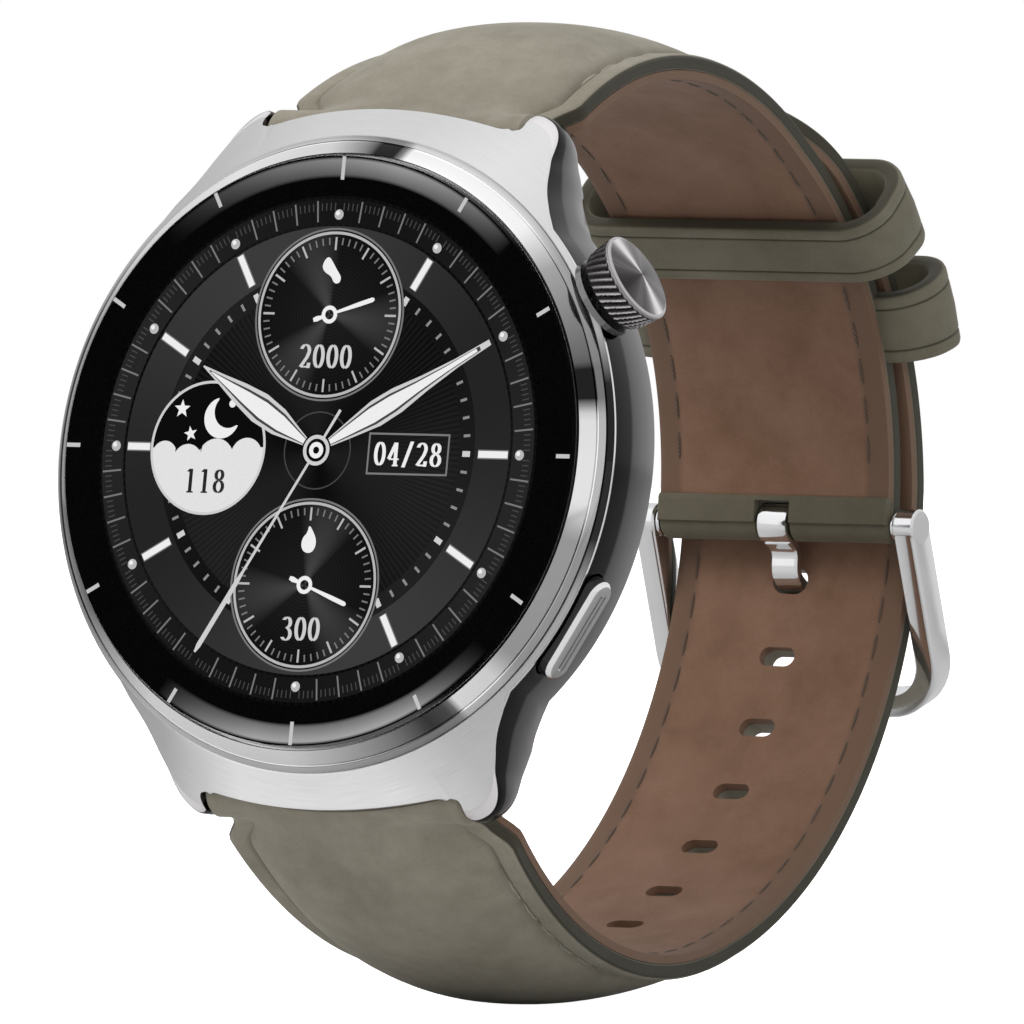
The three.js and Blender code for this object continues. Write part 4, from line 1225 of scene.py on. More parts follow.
# Marks on radii: inner end, outer end, width.
MINUTE_MARK = (16.7, 18.25, 0.13)
FINE_MARK = (17.5, 18.05, 0.09)
MINUTE_SQUARE = (12.4, 12.95, 0.2)
HOUR_SQUARE = (12.35, 13.0, 0.42)
BATON = (13.7, 16.2, 0.5)
BATON_BORDER = 0.04
BATON_SHADE_WIDTH = 0.68
NINE_BATON_END = 14.3
NO_BATON = (0, 2, 6, 7)
EDGE_MARK = (20.3, 21.45, 0.3)
LONG_EDGE_MARK = (19.75, 21.45, 0.3)
SMALL_TICK = (5.1, 5.62, 0.12)
SMALL_HOUR = (4.7, 5.65, 0.16)

# Hour dots: distance from the centre, radius, radius of the shine on them.
HOUR_DOT = (17.2, 0.38, 0.17)

# Date window: left, right, bottom, top, width of its line.
DATE_WINDOW = (4.3, 11.2, -1.65, 1.4, 0.14)

# Figures: height, and their pitch in heights.
FIGURE_HEIGHT = 1.75
DATE_PITCH = 0.68
DAY_PITCH = 0.7

# Small dials: height of their centre, hand's angle in degrees, number, how far below the centre it sits.
SMALL_DIALS = [
    ("upper", 9.9, 17.8, "2000", 3.05, "dial_a"),
    ("lower", -9.8, -20.5, "300", 3.2, "dial_b"),
]
SMALL_RADIUS = 6.3
SMALL_RIM = (5.86, 6.06)
SMALL_OUTER_RIM = (6.18, 6.32)
SMALL_HAND = [(0.55, 0.1), (2.6, 0.17), (3.75, 0.17), (3.9, 0.08)]
SMALL_HAND_TAIL = [(0.55, 0.12), (1.1, 0.2), (1.4, 0.14)]
SMALL_HUB = (0.36, 0.66)

# Moon window: centre, radius, inner radius of its rim.
MOON = (-9.3, 0.0)
MOON_RADIUS = 4.9
MOON_RIM = 4.7

# Icons of the small dials, from the dial's centre: a shoe sole and a flame.
SOLE = [
    (-1.0, 3.45), (-0.8, 4.0), (-0.45, 4.25), (-0.05, 3.75), (0.35, 3.2),
    (0.72, 2.75), (0.62, 2.3), (0.15, 2.25), (-0.15, 2.8), (-0.7, 3.05),
]
FLAME = [
    (-0.62, 2.9), (-0.5, 3.45), (-0.15, 3.8), (-0.05, 4.4), (0.3, 3.95),
    (0.62, 3.4), (0.66, 2.85), (0.4, 2.4), (0.0, 2.3), (-0.4, 2.45),
]


# Humps of the clouds in the moon window, from its centre: place along, rise, radius.
CLOUDS = [(-3.7, -0.05, 1.05), (-1.7, -0.45, 1.25), (0.7, -0.3, 1.55), (3.3, 0.0, 1.35)]

# Half of each hand's outline: reach from the dial's centre, half width.
HOUR_HAND = [(1.15, 0.3), (2.2, 0.55), (4.0, 1.02), (6.0, 1.15), (8.0, 0.85), (10.0, 0.42), (11.9, 0.06)]
MINUTE_HAND = [
    (1.15, 0.3), (3.0, 0.62), (5.5, 1.02), (7.5, 0.98), (10.0, 0.62), (13.0, 0.34), (16.1, 0.22),
]
HOUR_ANGLE = 150 * DEG
MINUTE_ANGLE = 30.4 * DEG


def picture(materials):
    """The dial: rings, scales, two small dials, a moon window, a date window and three hands."""
    white = materials["white"]
    pale = materials["pale"]
    mid = materials["mid"]
    dim = materials["dim"]

    ground = Picture("dial_ground", DEPTH, materials["ground"])
    ground.disc(GROUND_RADIUS, steps=128)
    ground.make()
    for name, inner, outer, layer, steps, material in RINGS:
        ring = Picture("dial_" + name, DEPTH - layer * LAYER, materials[material])
        ring.ring(inner, outer, steps=steps)
        ring.make()

    marks = Picture("dial_minute_marks", DEPTH - 2 * LAYER, mid)
    fine = Picture("dial_fine_marks", DEPTH - 2 * LAYER, dim)
    squares = Picture("dial_dots", DEPTH - 2 * LAYER, materials["track_mark"])
    hour_squares = Picture("dial_hour_squares", DEPTH - 2 * LAYER, materials["silver"])
    for i in range(60):
        angle = i * 6 * DEG
        if i % 5:
            marks.bar(angle, *MINUTE_MARK)
            squares.bar(angle, *MINUTE_SQUARE)
    for i in range(300):
        if i % 5:
            fine.bar(i * 1.2 * DEG, *FINE_MARK)
    edge = Picture("dial_edge_marks", DEPTH - 2 * LAYER, materials["edge_mark"])
    batons = Picture("dial_batons", DEPTH - 2 * LAYER, white)
    baton_shade = Picture("dial_baton_sides", DEPTH - 1.5 * LAYER, mid)
    dots = Picture("dial_hour_dots", DEPTH - 2 * LAYER, pale)
    shine = Picture("dial_dot_shine", DEPTH - 3 * LAYER, white)
    for hour in range(12):
        angle = math.pi / 2 - hour * 30 * DEG
        edge.bar(angle, *(LONG_EDGE_MARK if hour in (0, 6) else EDGE_MARK))
        reach, dot_radius, shine_radius = HOUR_DOT
        place = (reach * math.cos(angle), reach * math.sin(angle))
        if hour != 7:
            dots.disc(dot_radius, place, 20)
            shine.disc(shine_radius, (place[0] - 0.1, place[1] + 0.1), 14)
        hour_squares.bar(angle, *HOUR_SQUARE)
        if hour in NO_BATON:
            continue
        inner_end, outer_end, baton_width = BATON
        if hour == 9:
            inner_end = NINE_BATON_END
        batons.bar(angle, inner_end, outer_end, baton_width)
        baton_shade.bar(angle, inner_end - BATON_BORDER, outer_end + BATON_BORDER, BATON_SHADE_WIDTH)
    for layer in (marks, fine, squares, hour_squares, edge, batons, baton_shade, dots, shine):
        layer.make()

    small_dials(materials)
    moon_window(materials)

    frame = Picture("date_frame", DEPTH - 2 * LAYER, materials["frame_line"])
    x0, x1, z0, z1, line = DATE_WINDOW
    sides = (
        (x0, x1, z0, z0 + line),
        (x0, x1, z1 - line, z1),
        (x0, x0 + line, z0, z1),
        (x1 - line, x1, z0, z1),
    )
    for left, right, low, high in sides:
        frame.polygon([(left, low), (right, low), (right, high), (left, high)])
    frame.make()
    date = Picture("date_figures", DEPTH - 2 * LAYER, white)
    date.number("04/28", FIGURE_HEIGHT, ((x0 + x1) / 2, -0.12), DATE_PITCH)
    date.make()
    hands(materials)


def small_dials(materials):
    white = materials["white"]
    pale = materials["pale"]
    mid = materials["mid"]
    for name, z, reading, figures, drop, material in SMALL_DIALS:
        centre = (0, z)
        base = Picture(name + "_dial_ground", DEPTH - 3 * LAYER, materials[material])
        base.disc(SMALL_RADIUS, centre, 96)
        base.make()
        rim = Picture(name + "_dial_rim", DEPTH - 4 * LAYER, pale)
        rim.ring(*SMALL_RIM, centre, 96)
        rim.make()
        shade = Picture(name + "_dial_outer_rim", DEPTH - 4 * LAYER, mid)
        shade.ring(*SMALL_OUTER_RIM, centre, 96)
        shade.make()
        ticks = Picture(name + "_dial_ticks", DEPTH - 4 * LAYER, mid)
        hours = Picture(name + "_dial_hours", DEPTH - 4 * LAYER, pale)
        for i in range(60):
            if i % 5:
                ticks.bar(i * 6 * DEG, *SMALL_TICK, centre)
            else:
                hours.bar(i * 6 * DEG, *SMALL_HOUR, centre)
        ticks.make()
        hours.make()
        figure = Picture(name + "_dial_figures", DEPTH - 5 * LAYER, materials["silver"])
        figure.number(figures, FIGURE_HEIGHT, (0, z - drop))
        figure.make()
        art = Picture(name + "_dial_art", DEPTH - 5 * LAYER, white)
        hand = reading * DEG
        art.hand(hand, SMALL_HAND, centre)
        art.hand(hand + math.pi, SMALL_HAND_TAIL, centre)
        art.ring(*SMALL_HUB, centre, 32)
        icon = SOLE if name == "upper" else FLAME
        art.polygon([(u, z + v) for u, v in chaikin(icon, 2, closed=True)])
        art.make()


def moon_window(materials):
    """A night sky over white clouds, with the day of the year in figures."""
    centre = MOON
    x, z = centre
    sky = Picture("moon_sky", DEPTH - 3 * LAYER, materials["black"])
    sky.disc(MOON_RADIUS, centre, 72)
    sky.make()
    rim = Picture("moon_rim", DEPTH - 5 * LAYER, materials["silver"])
    rim.ring(MOON_RIM, MOON_RADIUS, centre, 96)
    rim.make()
    clouds = Picture("moon_clouds", DEPTH - 4 * LAYER, materials["cloud"])
    top = []
    for offset, rise, radius in CLOUDS:
        for i in range(13):
            angle = (150 - 120 * i / 12) * DEG
            top.append((offset + radius * math.cos(angle), rise - 0.55 + radius * math.sin(angle)))
    top = sorted(top, key=lambda p: p[0])
    outline = [(x + u, z + v) for u, v in top if math.hypot(u, v) < MOON_RIM]
    first = math.atan2(outline[0][1] - z, outline[0][0] - x)
    last = math.atan2(outline[-1][1] - z, outline[-1][0] - x)
    start = last
    end = first - 2 * math.pi if first > last else first
    for i in range(41):
        angle = start + (end - start) * i / 40
        outline.append((x + 4.72 * math.cos(angle), z + 4.72 * math.sin(angle)))
    clouds.polygon(outline)
    clouds.make()
    art = Picture("moon_art", DEPTH - 5 * LAYER, materials["white"])
    art.polygon(crescent(1.5, (x + 0.95, z + 2.2), 42 * DEG))
    art.polygon(star(0.7, (x - 2.5, z + 2.8)))
    art.polygon(star(0.58, (x - 1.6, z + 1.0), 0.2))
    art.disc(0.28, (x + 1.75, z + 3.25), 16)
    art.make()
    day = Picture("moon_figures", DEPTH - 5 * LAYER, materials["ink"])
    day.number("118", FIGURE_HEIGHT, (x, z - 2.4), DAY_PITCH)
    day.make()


def hands(materials):
    root = HOUR_HAND[0][0]
    levels = (
        ("hand_edges", materials["silver"], 1.0, 1.0, 6),
        ("hand_grooves", materials["dim"], 0.74, 0.94, 7),
        ("hand_cores", materials["white"], 0.56, 0.92, 8),
    )
    for name, material, width, reach, layer in levels:
        part = Picture(name, DEPTH - layer * LAYER, material)
        for angle, stations in ((HOUR_ANGLE, HOUR_HAND), (MINUTE_ANGLE, MINUTE_HAND)):
            part.hand(angle, [(root + (r - root) * reach, w * width) for r, w in stations])
        part.make()
    hub = Picture("hand_hub", DEPTH - 9.5 * LAYER, materials["silver"])
    hub.ring(0.84, 1.12, steps=64)
    second = math.atan2(-14.9, -8.8)
    hub.hand(second, [(1.0, 0.1), (10.4, 0.11), (11.4, 0.19), (16.7, 0.2), (17.3, 0.08)])
    hub.hand(second + math.pi, [(1.0, 0.1), (3.45, 0.12)])
    hub.make()
    groove = Picture("hand_hub_groove", DEPTH - 9 * LAYER, materials["black"])
    groove.disc(1.25, steps=48)
    groove.make()
    halo = Picture("hand_halo", DEPTH - 2 * LAYER, materials["dim"])
    halo.ring(2.75, 2.85, steps=64)
    halo.make()
    core = Picture("hand_hub_core", DEPTH - 10 * LAYER, materials["white"])
    core.ring(0.26, 0.6, steps=64)
    core.make()


# ---- Strap paths -------------------------------------------------------------------------------


def arc_points(start, heading, end, steps):
    """One arc in the Y-Z plane, leaving a point along a direction and ending at another."""
    chord = end - start
    normal = np.array([-heading[1], heading[0]])
    radius = chord @ chord / (2 * chord @ normal)
    centre = start + normal * radius
    first = math.atan2(start[1] - centre[1], start[0] - centre[0])
    half = math.asin(min(1, np.linalg.norm(chord) / (2 * abs(radius))))
    sweep = 2 * half * (1 if radius > 0 else -1)
    points = []
    for i in range(steps + 1):
        angle = first + sweep * i / steps
        points.append(centre + abs(radius) * np.array([math.cos(angle), math.sin(angle)]))
    return points


def biarc_points(start, heading, end, arrival, steps):
    span = end - start
    total = heading + arrival
    along = span @ total
    spread = 2 * (1 - heading @ arrival)
    reach = (-along + math.sqrt(along * along + spread * (span @ span))) / spread
    middle = (start + end + reach * (heading - arrival)) / 2
    first = arc_points(start, heading, middle, steps)
    second = arc_points(end, -arrival, middle, steps)[::-1]
    return first + second[1:]


def on_circle(radius, angle):
    y, z, _ = STRAP_CIRCLE
    return np.array([y + radius * math.cos(angle), z + radius * math.sin(angle)])


class Path:
    """A walk along a line in the Y-Z plane with normals that point away from the wrist."""

    def __init__(self, points, sign):
        self.points = np.array(points)
        steps = np.linalg.norm(np.diff(self.points, axis=0), axis=1)
        self.lengths = np.concatenate([[0], np.cumsum(steps)])
        self.length = self.lengths[-1]
        before = np.vstack([self.points[:1], self.points[:-1]])
        after = np.vstack([self.points[1:], self.points[-1:]])
        along = after - before
        along /= np.linalg.norm(along, axis=1)[:, None]
        self.normals = np.stack([-along[:, 1] * sign, along[:, 0] * sign], 1)

    def at(self, distance):
        i = min(max(int(np.searchsorted(self.lengths, distance)), 1), len(self.points) - 1)
        t = (distance - self.lengths[i - 1]) / (self.lengths[i] - self.lengths[i - 1])
        point = self.points[i - 1] * (1 - t) + self.points[i] * t
        normal = self.normals[i - 1] * (1 - t) + self.normals[i] * t
        return point, normal / np.linalg.norm(normal)

    def place(self, distance, x, height):
        point, normal = self.at(distance)
        y, z = point + normal * height
        return (x, y, z)

    def distance_at_height(self, z):
        heights = self.points[:, 1]
        for i in range(1, len(heights)):
            if heights[i] >= z > heights[i - 1]:
                t = (z - heights[i - 1]) / (heights[i] - heights[i - 1])
                return lerp(self.lengths[i - 1], self.lengths[i], t)
        return 0


def upper_path():
    heading = np.array([math.cos(UPPER_HEADING), math.sin(UPPER_HEADING)])
    outward = np.array([-heading[1], heading[0]])
    start = np.array(BAR) - ROLL_RADIUS * outward
    radius = STRAP_CIRCLE[2]
    arrival = np.array([math.sin(TOP_ANGLE), -math.cos(TOP_ANGLE)])
    points = biarc_points(start, heading, on_circle(radius, TOP_ANGLE), arrival, 30)
    steps = 60
    for i in range(1, steps + 1):
        points.append(on_circle(radius, lerp(TOP_ANGLE, PIN_ANGLE, i / steps)))
    return Path(points, 1)


def lower_path(upper):
    heading = np.array([math.cos(LOWER_HEADING), math.sin(LOWER_HEADING)])
    outward = np.array([heading[1], -heading[0]])
    start = np.array([BAR[0], -BAR[1]]) - ROLL_RADIUS * outward
    radius = STRAP_CIRCLE[2]
    arrival = np.array([-math.sin(LOW_ANGLE), math.cos(LOW_ANGLE)])
    points = biarc_points(start, heading, on_circle(radius + TAIL_LIFT[0], LOW_ANGLE), arrival, 40)
    steps = 48
    for i in range(1, steps + 1):
        lift = lerp(TAIL_LIFT[0], TAIL_LIFT[1], i / steps)
        points.append(on_circle(radius + lift, lerp(LOW_ANGLE, TOP_ANGLE, i / steps)))
    start_at = upper.length - radius * (TOP_ANGLE - PIN_ANGLE)
    for i in range(1, 16):
        point, normal = upper.at(start_at - TAIL_REACH * i / 15)
        points.append(point + normal * TAIL_LIFT[1])
    return Path(points, -1)


# ---- Strap -------------------------------------------------------------------------------------


def half_width_along(distance):
    flare = lerp(HALF_WIDTH[0], HALF_WIDTH[1], smooth_step(distance, SHOULDER[0], SHOULDER[1]))
    taper = min(max((distance - TAPER[0]) / (TAPER[1] - TAPER[0]), 0), 1)
    return lerp(flare, HALF_WIDTH[2], taper)


def thickness_along(distance):
    left = 1 - min(distance / PADDED_LENGTH, 1)
    return EDGE_THICKNESS + (2 * ROLL_RADIUS - EDGE_THICKNESS) * left * left


def crowning(distance, pad):
    """Extra height of the padded middle: it grows from the lugs and fades again."""
    height, start, full, fading, flat = pad
    return height * smooth_step(distance, start, full) * (1 - smooth_step(distance, fading, flat))


def tail_width(path):
    tip = path.length - TAIL_TIP

    def width(distance):
        past = min(max((distance - tip) / TAIL_TIP, 0), 0.995)
        return half_width_along(distance) * math.sqrt(1 - past * past)

    return width


def outer_height(x, half, distance, top, pad):
    """Height of the outer face: a flat margin, a stitch groove and the padded middle."""
    edge = EDGE_THICKNESS + 2 * (1 - smooth_step(distance, 0, 3))
    edge = min(edge, top(distance))
    rise = max(top(distance) + crowning(distance, pad) - edge, 0)
    margin = min(MARGIN, 0.3 * half)
    inside = max(half - margin, 0.1)
    u = min(abs(x) / inside, 1)
    middle = rise * max(1 - u ** 2.2, 0) ** 0.75
    fade = smooth_step(distance, 2.5, 6)
    swell = 0.14 * max(1 - u ** 6, 0) * fade
    groove = 0.28 * max(1 - abs(abs(x) - inside) / 0.3, 0) * fade
    shoulder = 0.3 * max((abs(x) - (half - 0.45)) / 0.45, 0) ** 2
    return edge + middle + swell - groove - shoulder


def columns(half):
    """Places across a strap half, from one edge to the other, close together at edge and groove."""
    shrink = min(half / 6, 1)
    near = [half - inset * shrink for inset in EDGE_INSETS]
    far = near[-1]
    near += [far * (1 - i / 9) for i in range(1, 10)]
    return near + [-x for x in reversed(near[:-1])]


def leather_band(name, path, width, top, pad, material):
    """The leather of one strap half, with its cross section followed station by station."""
    count = max(int(path.length / 0.55), 8)
    outlines = []
    edges = []
    bottom = LINING + 0.05
    for i in range(count + 1):
        distance = path.length * i / count
        half = max(width(distance), 0.6)
        outline = [
            path.place(distance, -half + BAND_EDGE, bottom),
            path.place(distance, half - BAND_EDGE, bottom),
            path.place(distance, half, bottom + BAND_EDGE),
        ]
        marks = [0.3, 0.3, 1.0]
        for x in columns(half):
            outline.append(path.place(distance, x, outer_height(x, half, distance, top, pad)))
            marks.append(1.0 if half - abs(x) < 0.1 else 0.0)
        outline.append(path.place(distance, -half, bottom + BAND_EDGE))
        marks.append(1.0)
        outlines.append(outline)
        edges.append(marks)
    around = len(outlines[0])
    points = [p for outline in outlines for p in outline]
    obj = plain_mesh(name, points, capped_faces(len(outlines), around), material)
    put_attribute(obj, "edge", [v for marks in edges for v in marks])
    return obj


def flat_band(name, path, start, end, width, material):
    """The lining: a thin layer whose margin outside the seam is marked."""
    count = max(int((end - start) / 0.6), 4)
    across = 28
    outlines = []
    marks = []
    for i in range(count + 1):
        distance = start + (end - start) * i / count
        half = max(width(distance) - 0.08, 0.4)
        outline = []
        for j in range(across + 1):
            x = half * math.sin((2 * j / across - 1) * math.pi / 2)
            seam = abs(abs(x) - (half - LINING_SEAM))
            groove = 0.06 * max(1 - seam / 0.45, 0)
            lift = 0.08 * max((abs(x) - (half - 0.3)) / 0.3, 0)
            outline.append(path.place(distance, x, groove + lift))
            marks.append(1.0 if abs(x) > half - LINING_SEAM - 0.1 else 0.0)
        outline.append(path.place(distance, half, LINING))
        outline.append(path.place(distance, -half, LINING))
        marks.extend([1.0, 1.0])
        outlines.append(outline)
    points = [p for outline in outlines for p in outline]
    obj = plain_mesh(name, points, capped_faces(len(outlines), len(outlines[0])), material)
    put_attribute(obj, "edge", marks)
    return obj


def stitches(name, path, start, end, inset, width, height, material):
    """Two rows of stitches that follow the edges of a band at some height over its path."""
    pitch = 2.9
    length = 2.3
    radius = 0.1
    sides = 8
    rng = random.Random(len(name) * 7 + 3)
    points = []
    faces = []
    for side in (1, -1):
        for i in range(int((end - start) / pitch)):
            middle = start + (i + 0.5) * pitch + rng.uniform(-0.05, 0.05)
            shift = rng.uniform(-0.03, 0.03)
            first = len(points)
            for place, fat in STITCH_STATIONS:
                distance = middle + place * length / 2
                x = side * (width(distance) - inset + shift)
                dip = radius * 0.9 * place ** 4
                h = height(x, distance) + (dip if height.inward else -dip)
                for k in range(sides):
                    angle = 2 * math.pi * k / sides
                    across = radius * 1.25 * fat * math.cos(angle)
                    points.append(path.place(distance, x + across, h + radius * fat * math.sin(angle)))
            for face in capped_faces(len(STITCH_STATIONS), sides):
                faces.append(tuple(first + k for k in face))
    return mesh_object(name, points, faces, material)


class InnerSeam:
    """Stitches on the lining."""

    inward = True

    def __init__(self, level):
        self.level = level

    def __call__(self, x, distance):
        return self.level


class OuterSeam:
    """Stitches on the outer face of a strap half."""

    inward = False

    def __init__(self, width, top, pad):
        self.width = width
        self.top = top
        self.pad = pad

    def __call__(self, x, distance):
        return outer_height(x, self.width(distance), distance, self.top, self.pad) + 0.14


def roll(name, radius, half_length, place, material):
    """A rolled end of the leather, round a bar."""
    obj = rod(name, radius, (-half_length, *place), (half_length, *place), material, 48, 0.25)
    put_attribute(obj, "edge", [0.0] * len(obj.data.vertices))
    return obj


def stadium_cutter(path, distance, half_length, half_width, material):
    point, normal = path.at(distance)
    along = np.array([normal[1], -normal[0]])
    rings = []
    for reach in (-3.0, 4.0):
        ring = []
        for i in range(28):
            angle = 2 * math.pi * i / 28
            straight = half_length - half_width
            x = half_width * math.cos(angle) + math.copysign(straight, math.cos(angle))
            v = half_width * math.sin(angle)
            y, z = point + normal * reach + along * v
            ring.append((x, y, z))
        rings.append(ring)
    return skin("hole_tool", rings, material)


def pin_centre(upper):
    point, normal = upper.at(upper.length)
    return point + normal * PIN_ROLL


def seams(name, path, start, ends, width, outer_seam, materials):
    """Stitches on both faces of a strap half; ends are those of the inner and the outer rows."""
    inner, outer = ends
    rows = stitches(
        name + "_lining_stitches", path, start, inner, LINING_SEAM, width, InnerSeam(0.02),
        materials["thread_inner"],
    )
    fit(rows, MAIN)
    rows = stitches(
        name + "_leather_stitches", path, start + 2, outer, MARGIN, width, outer_seam,
        materials["thread_outer"],
    )
    fit(rows, MAIN)


def upper_strap(path, materials):
    """The half between the case and the buckle, folded round the buckle's pin."""
    pin = pin_centre(path)
    leather_look = materials["leather"]
    # Painted shade: the fold round the pin takes a darker copy of the outer leather.
    fold_shaded_look = materials["fold"]

    def top(distance):
        share = smooth_step(distance, path.length - FOLD_LENGTH - 3, path.length - FOLD_LENGTH)
        return lerp(thickness_along(distance), FOLD_THICKNESS, share)

    band = leather_band("upper_leather_band", path, half_width_along, top, UPPER_PAD, leather_look)
    end = roll("upper_bar_roll", ROLL_RADIUS, HALF_WIDTH[0], BAR, leather_look)
    fold = roll("upper_fold_roll", PIN_ROLL, HALF_WIDTH[2] - 0.05, tuple(pin), fold_shaded_look)
    patch = fold_patch(path, path.length - 2.0, fold_shaded_look)
    for obj in (band, fold, patch):
        slot = rounded_box("tang_slot", TANG_SLOT, (0, pin[0], pin[1] - 0.25), leather_look, 0.15)
        boolean_cut(obj, [slot])
    fit(band, MAIN, "upper_strap_leather")
    for obj in (end, fold, patch):
        fit(obj, MAIN)
    inner_end = path.length - 1.7
    inner = flat_band("upper_lining_band", path, 2.9, inner_end, half_width_along, materials["lining"])
    fit(inner, MAIN, "upper_strap_lining")
    outer_seam = OuterSeam(half_width_along, top, UPPER_PAD)
    ends = (path.length - 2.5, path.length - FOLD_LENGTH)
    seams("upper", path, 6, ends, half_width_along, outer_seam, materials)


def lower_strap(path, materials):
    """The half with the holes and the tail."""
    leather_look = materials["leather"]
    width = tail_width(path)
    band = leather_band("lower_leather_band", path, width, thickness_along, LOWER_PAD, leather_look)
    end = roll("lower_bar_roll", ROLL_RADIUS, HALF_WIDTH[0], (BAR[0], -BAR[1]), leather_look)
    inner = flat_band("lower_lining_band", path, 2.9, path.length - 0.4, width, materials["lining"])
    middle = path.distance_at_height(TANG_HOLE_Z)
    for obj in (band, inner):
        cutters = []
        for i in range(-HOLES_BELOW, HOLES_ABOVE + 1):
            half_width = HOLE[1] if i else TANG_HOLE_HALF_WIDTH
            cutters.append(stadium_cutter(path, middle + i * HOLE_PITCH, HOLE[0], half_width, leather_look))
        boolean_cut(obj, cutters)
    fit(band, MAIN, "lower_strap_leather")
    fit(end, MAIN)
    fit(inner, MAIN, "lower_strap_lining")
    last = path.length - TAIL_TIP - 1
    outer_seam = OuterSeam(width, thickness_along, LOWER_PAD)
    seams("lower", path, 6, (last, last), width, outer_seam, materials)


def fold_patch(path, start, material):
    """The turned-in end of the outer leather, which covers the lining just above the pin."""
    half = HALF_WIDTH[2] - 0.05
    outlines = []
    count = 8
    for i in range(count + 1):
        distance = start + (path.length - start) * i / count
        lift = 0.28 if i else 0.12
        section = [(-half, 0.5), (half, 0.5), (half, -lift + 0.1), (half - 0.15, -lift)]
        section += [(-half + 0.15, -lift), (-half, -lift + 0.1)]
        outlines.append([path.place(distance, x, height) for x, height in section])
    obj = skin("upper_fold_patch", outlines, material)
    put_attribute(obj, "edge", [0.0] * len(obj.data.vertices))
    return obj


# ---- Keepers and buckle ------------------------------------------------------------------------


def keeper_section():
    """Section of a keeper: place along the strap, depth under its outer face, darkness of its edge."""
    half = KEEPER_WIDTH / 2
    crease = half - 1.05
    outside = [
        (half, 0.35, 1.0),
        (half - 0.12, 0.08, 0.0),
        (half - 0.35, 0.0, 0.0),
        (crease + 0.16, 0.0, 0.0),
        (crease, 0.13, 0.9),
        (crease - 0.16, 0.0, 0.0),
    ]
    inside = [
        (half, KEEPER_THICKNESS - 0.2, 1.0),
        (half - 0.2, KEEPER_THICKNESS, 0.0),
        (0.0, KEEPER_THICKNESS, 0.0),
        (-half + 0.2, KEEPER_THICKNESS, 0.0),
        (-half, KEEPER_THICKNESS - 0.2, 1.0),
    ]
    mirrored = [(-along, inset, dark) for along, inset, dark in outside]
    return mirrored + [(0.0, -0.05, 0.0)] + outside[::-1] + inside


def keeper(name, body, spec, material, replaced):
    """A leather loop with round corners, rounded rims and a crease line near each rim."""
    middle, low, high = spec
    section = keeper_section()
    corner_steps = 12
    rings = []
    for quarter, (sx, ch) in enumerate((
        (1, low + KEEPER_CORNER),
        (1, high - KEEPER_CORNER),
        (-1, high - KEEPER_CORNER),
        (-1, low + KEEPER_CORNER),
    )):
        for i in range(corner_steps + 1):
            turn = (quarter - 1 + i / corner_steps) * 90 * DEG
            ring = []
            for along, inset, _ in section:
                radius = KEEPER_CORNER - inset
                x = sx * (KEEPER_HALF - KEEPER_CORNER) + radius * math.cos(turn)
                h = ch + radius * math.sin(turn)
                y, z = on_circle(STRAP_CIRCLE[2] + h, middle + along / (STRAP_CIRCLE[2] + 3))
                ring.append((x, y, z))
            rings.append(ring)
    points = [p for ring in rings for p in ring]
    obj = plain_mesh(name, points, grid_faces(len(rings), len(section), True, True), material)
    put_attribute(obj, "edge", [dark for _, _, dark in section] * len(rings))
    fit(obj, body, replaced)


def heading_at(line, i):
    """The direction of a line of points at one of them."""
    step = np.array(line[min(i + 1, len(line) - 1)]) - np.array(line[max(i - 1, 0)])
    return step / np.linalg.norm(step)


def buckle(upper, materials):
    steel = materials["buckle"]
    pin = pin_centre(upper)
    along = np.array([math.sin(FRAME_TILT), -math.cos(FRAME_TILT)])
    aside = np.array([math.cos(FRAME_TILT), math.sin(FRAME_TILT)])

    line = [(-ARM_MIDDLE, -0.1), (-ARM_MIDDLE, 0.5)]
    steps = 10
    for i in range(1, 6):
        line.append((-ARM_MIDDLE, lerp(0.5, BAR_DISTANCE - FRAME_CORNER, i / 5)))
    for i in range(1, steps + 1):
        turn = i / steps * 90 * DEG
        x = -ARM_MIDDLE + FRAME_CORNER * (1 - math.cos(turn))
        line.append((x, BAR_DISTANCE - FRAME_CORNER + FRAME_CORNER * math.sin(turn)))
    for i in range(1, 5):
        line.append((lerp(-ARM_MIDDLE + FRAME_CORNER, 0, i / 4), BAR_DISTANCE))
    line += [(-x, d) for x, d in reversed(line[:-1])]

    half_x = ARM_WIDTH / 2
    half_y = FRAME_THICKNESS / 2
    bevel = 0.28
    corners = []
    for sx, sy, start in ((1, 1, 0), (-1, 1, 90), (-1, -1, 180), (1, -1, 270)):
        for i in range(4):
            turn = (start + 30 * i) * DEG
            x = sx * (half_x - bevel) + bevel * math.cos(turn)
            corners.append((x, sy * (half_y - bevel) + bevel * math.sin(turn)))
    outlines = []
    for i, (x, d) in enumerate(line):
        heading = heading_at(line, i)
        sideways = np.array([heading[1], -heading[0]])
        ring = []
        for u, v in corners:
            px = x + sideways[0] * u
            pd = d + sideways[1] * u
            y, z = pin + along * pd + aside * v
            ring.append((px, y, z))
        outlines.append(ring)
    loop = skin("buckle_arms", outlines, steel, sharp=40)
    pieces = [loop]
    for side in (1, -1):
        near, far = [(side * x, *pin) for x in EYE_REACH]
        pieces.append(rod("buckle_eye", EYE_RADIUS, near, far, steel, 48, 0.16))
    frame = join_objects("buckle_loop", pieces)
    fit(frame, "buckle", "buckle_frame")

    pieces = [rod("buckle_rod", ROD_RADIUS, (-ROD_HALF, *pin), (ROD_HALF, *pin), steel)]
    for side in (1, -1):
        near, far = [(side * x, *pin) for x in COLLAR_REACH]
        pieces.append(rod("collar", COLLAR_RADIUS, near, far, steel, 48, 0.08))
    whole = join_objects("buckle_rod_and_collars", pieces)
    fit(whole, "buckle", "buckle_pin")

    tang(pin, along, aside, steel)


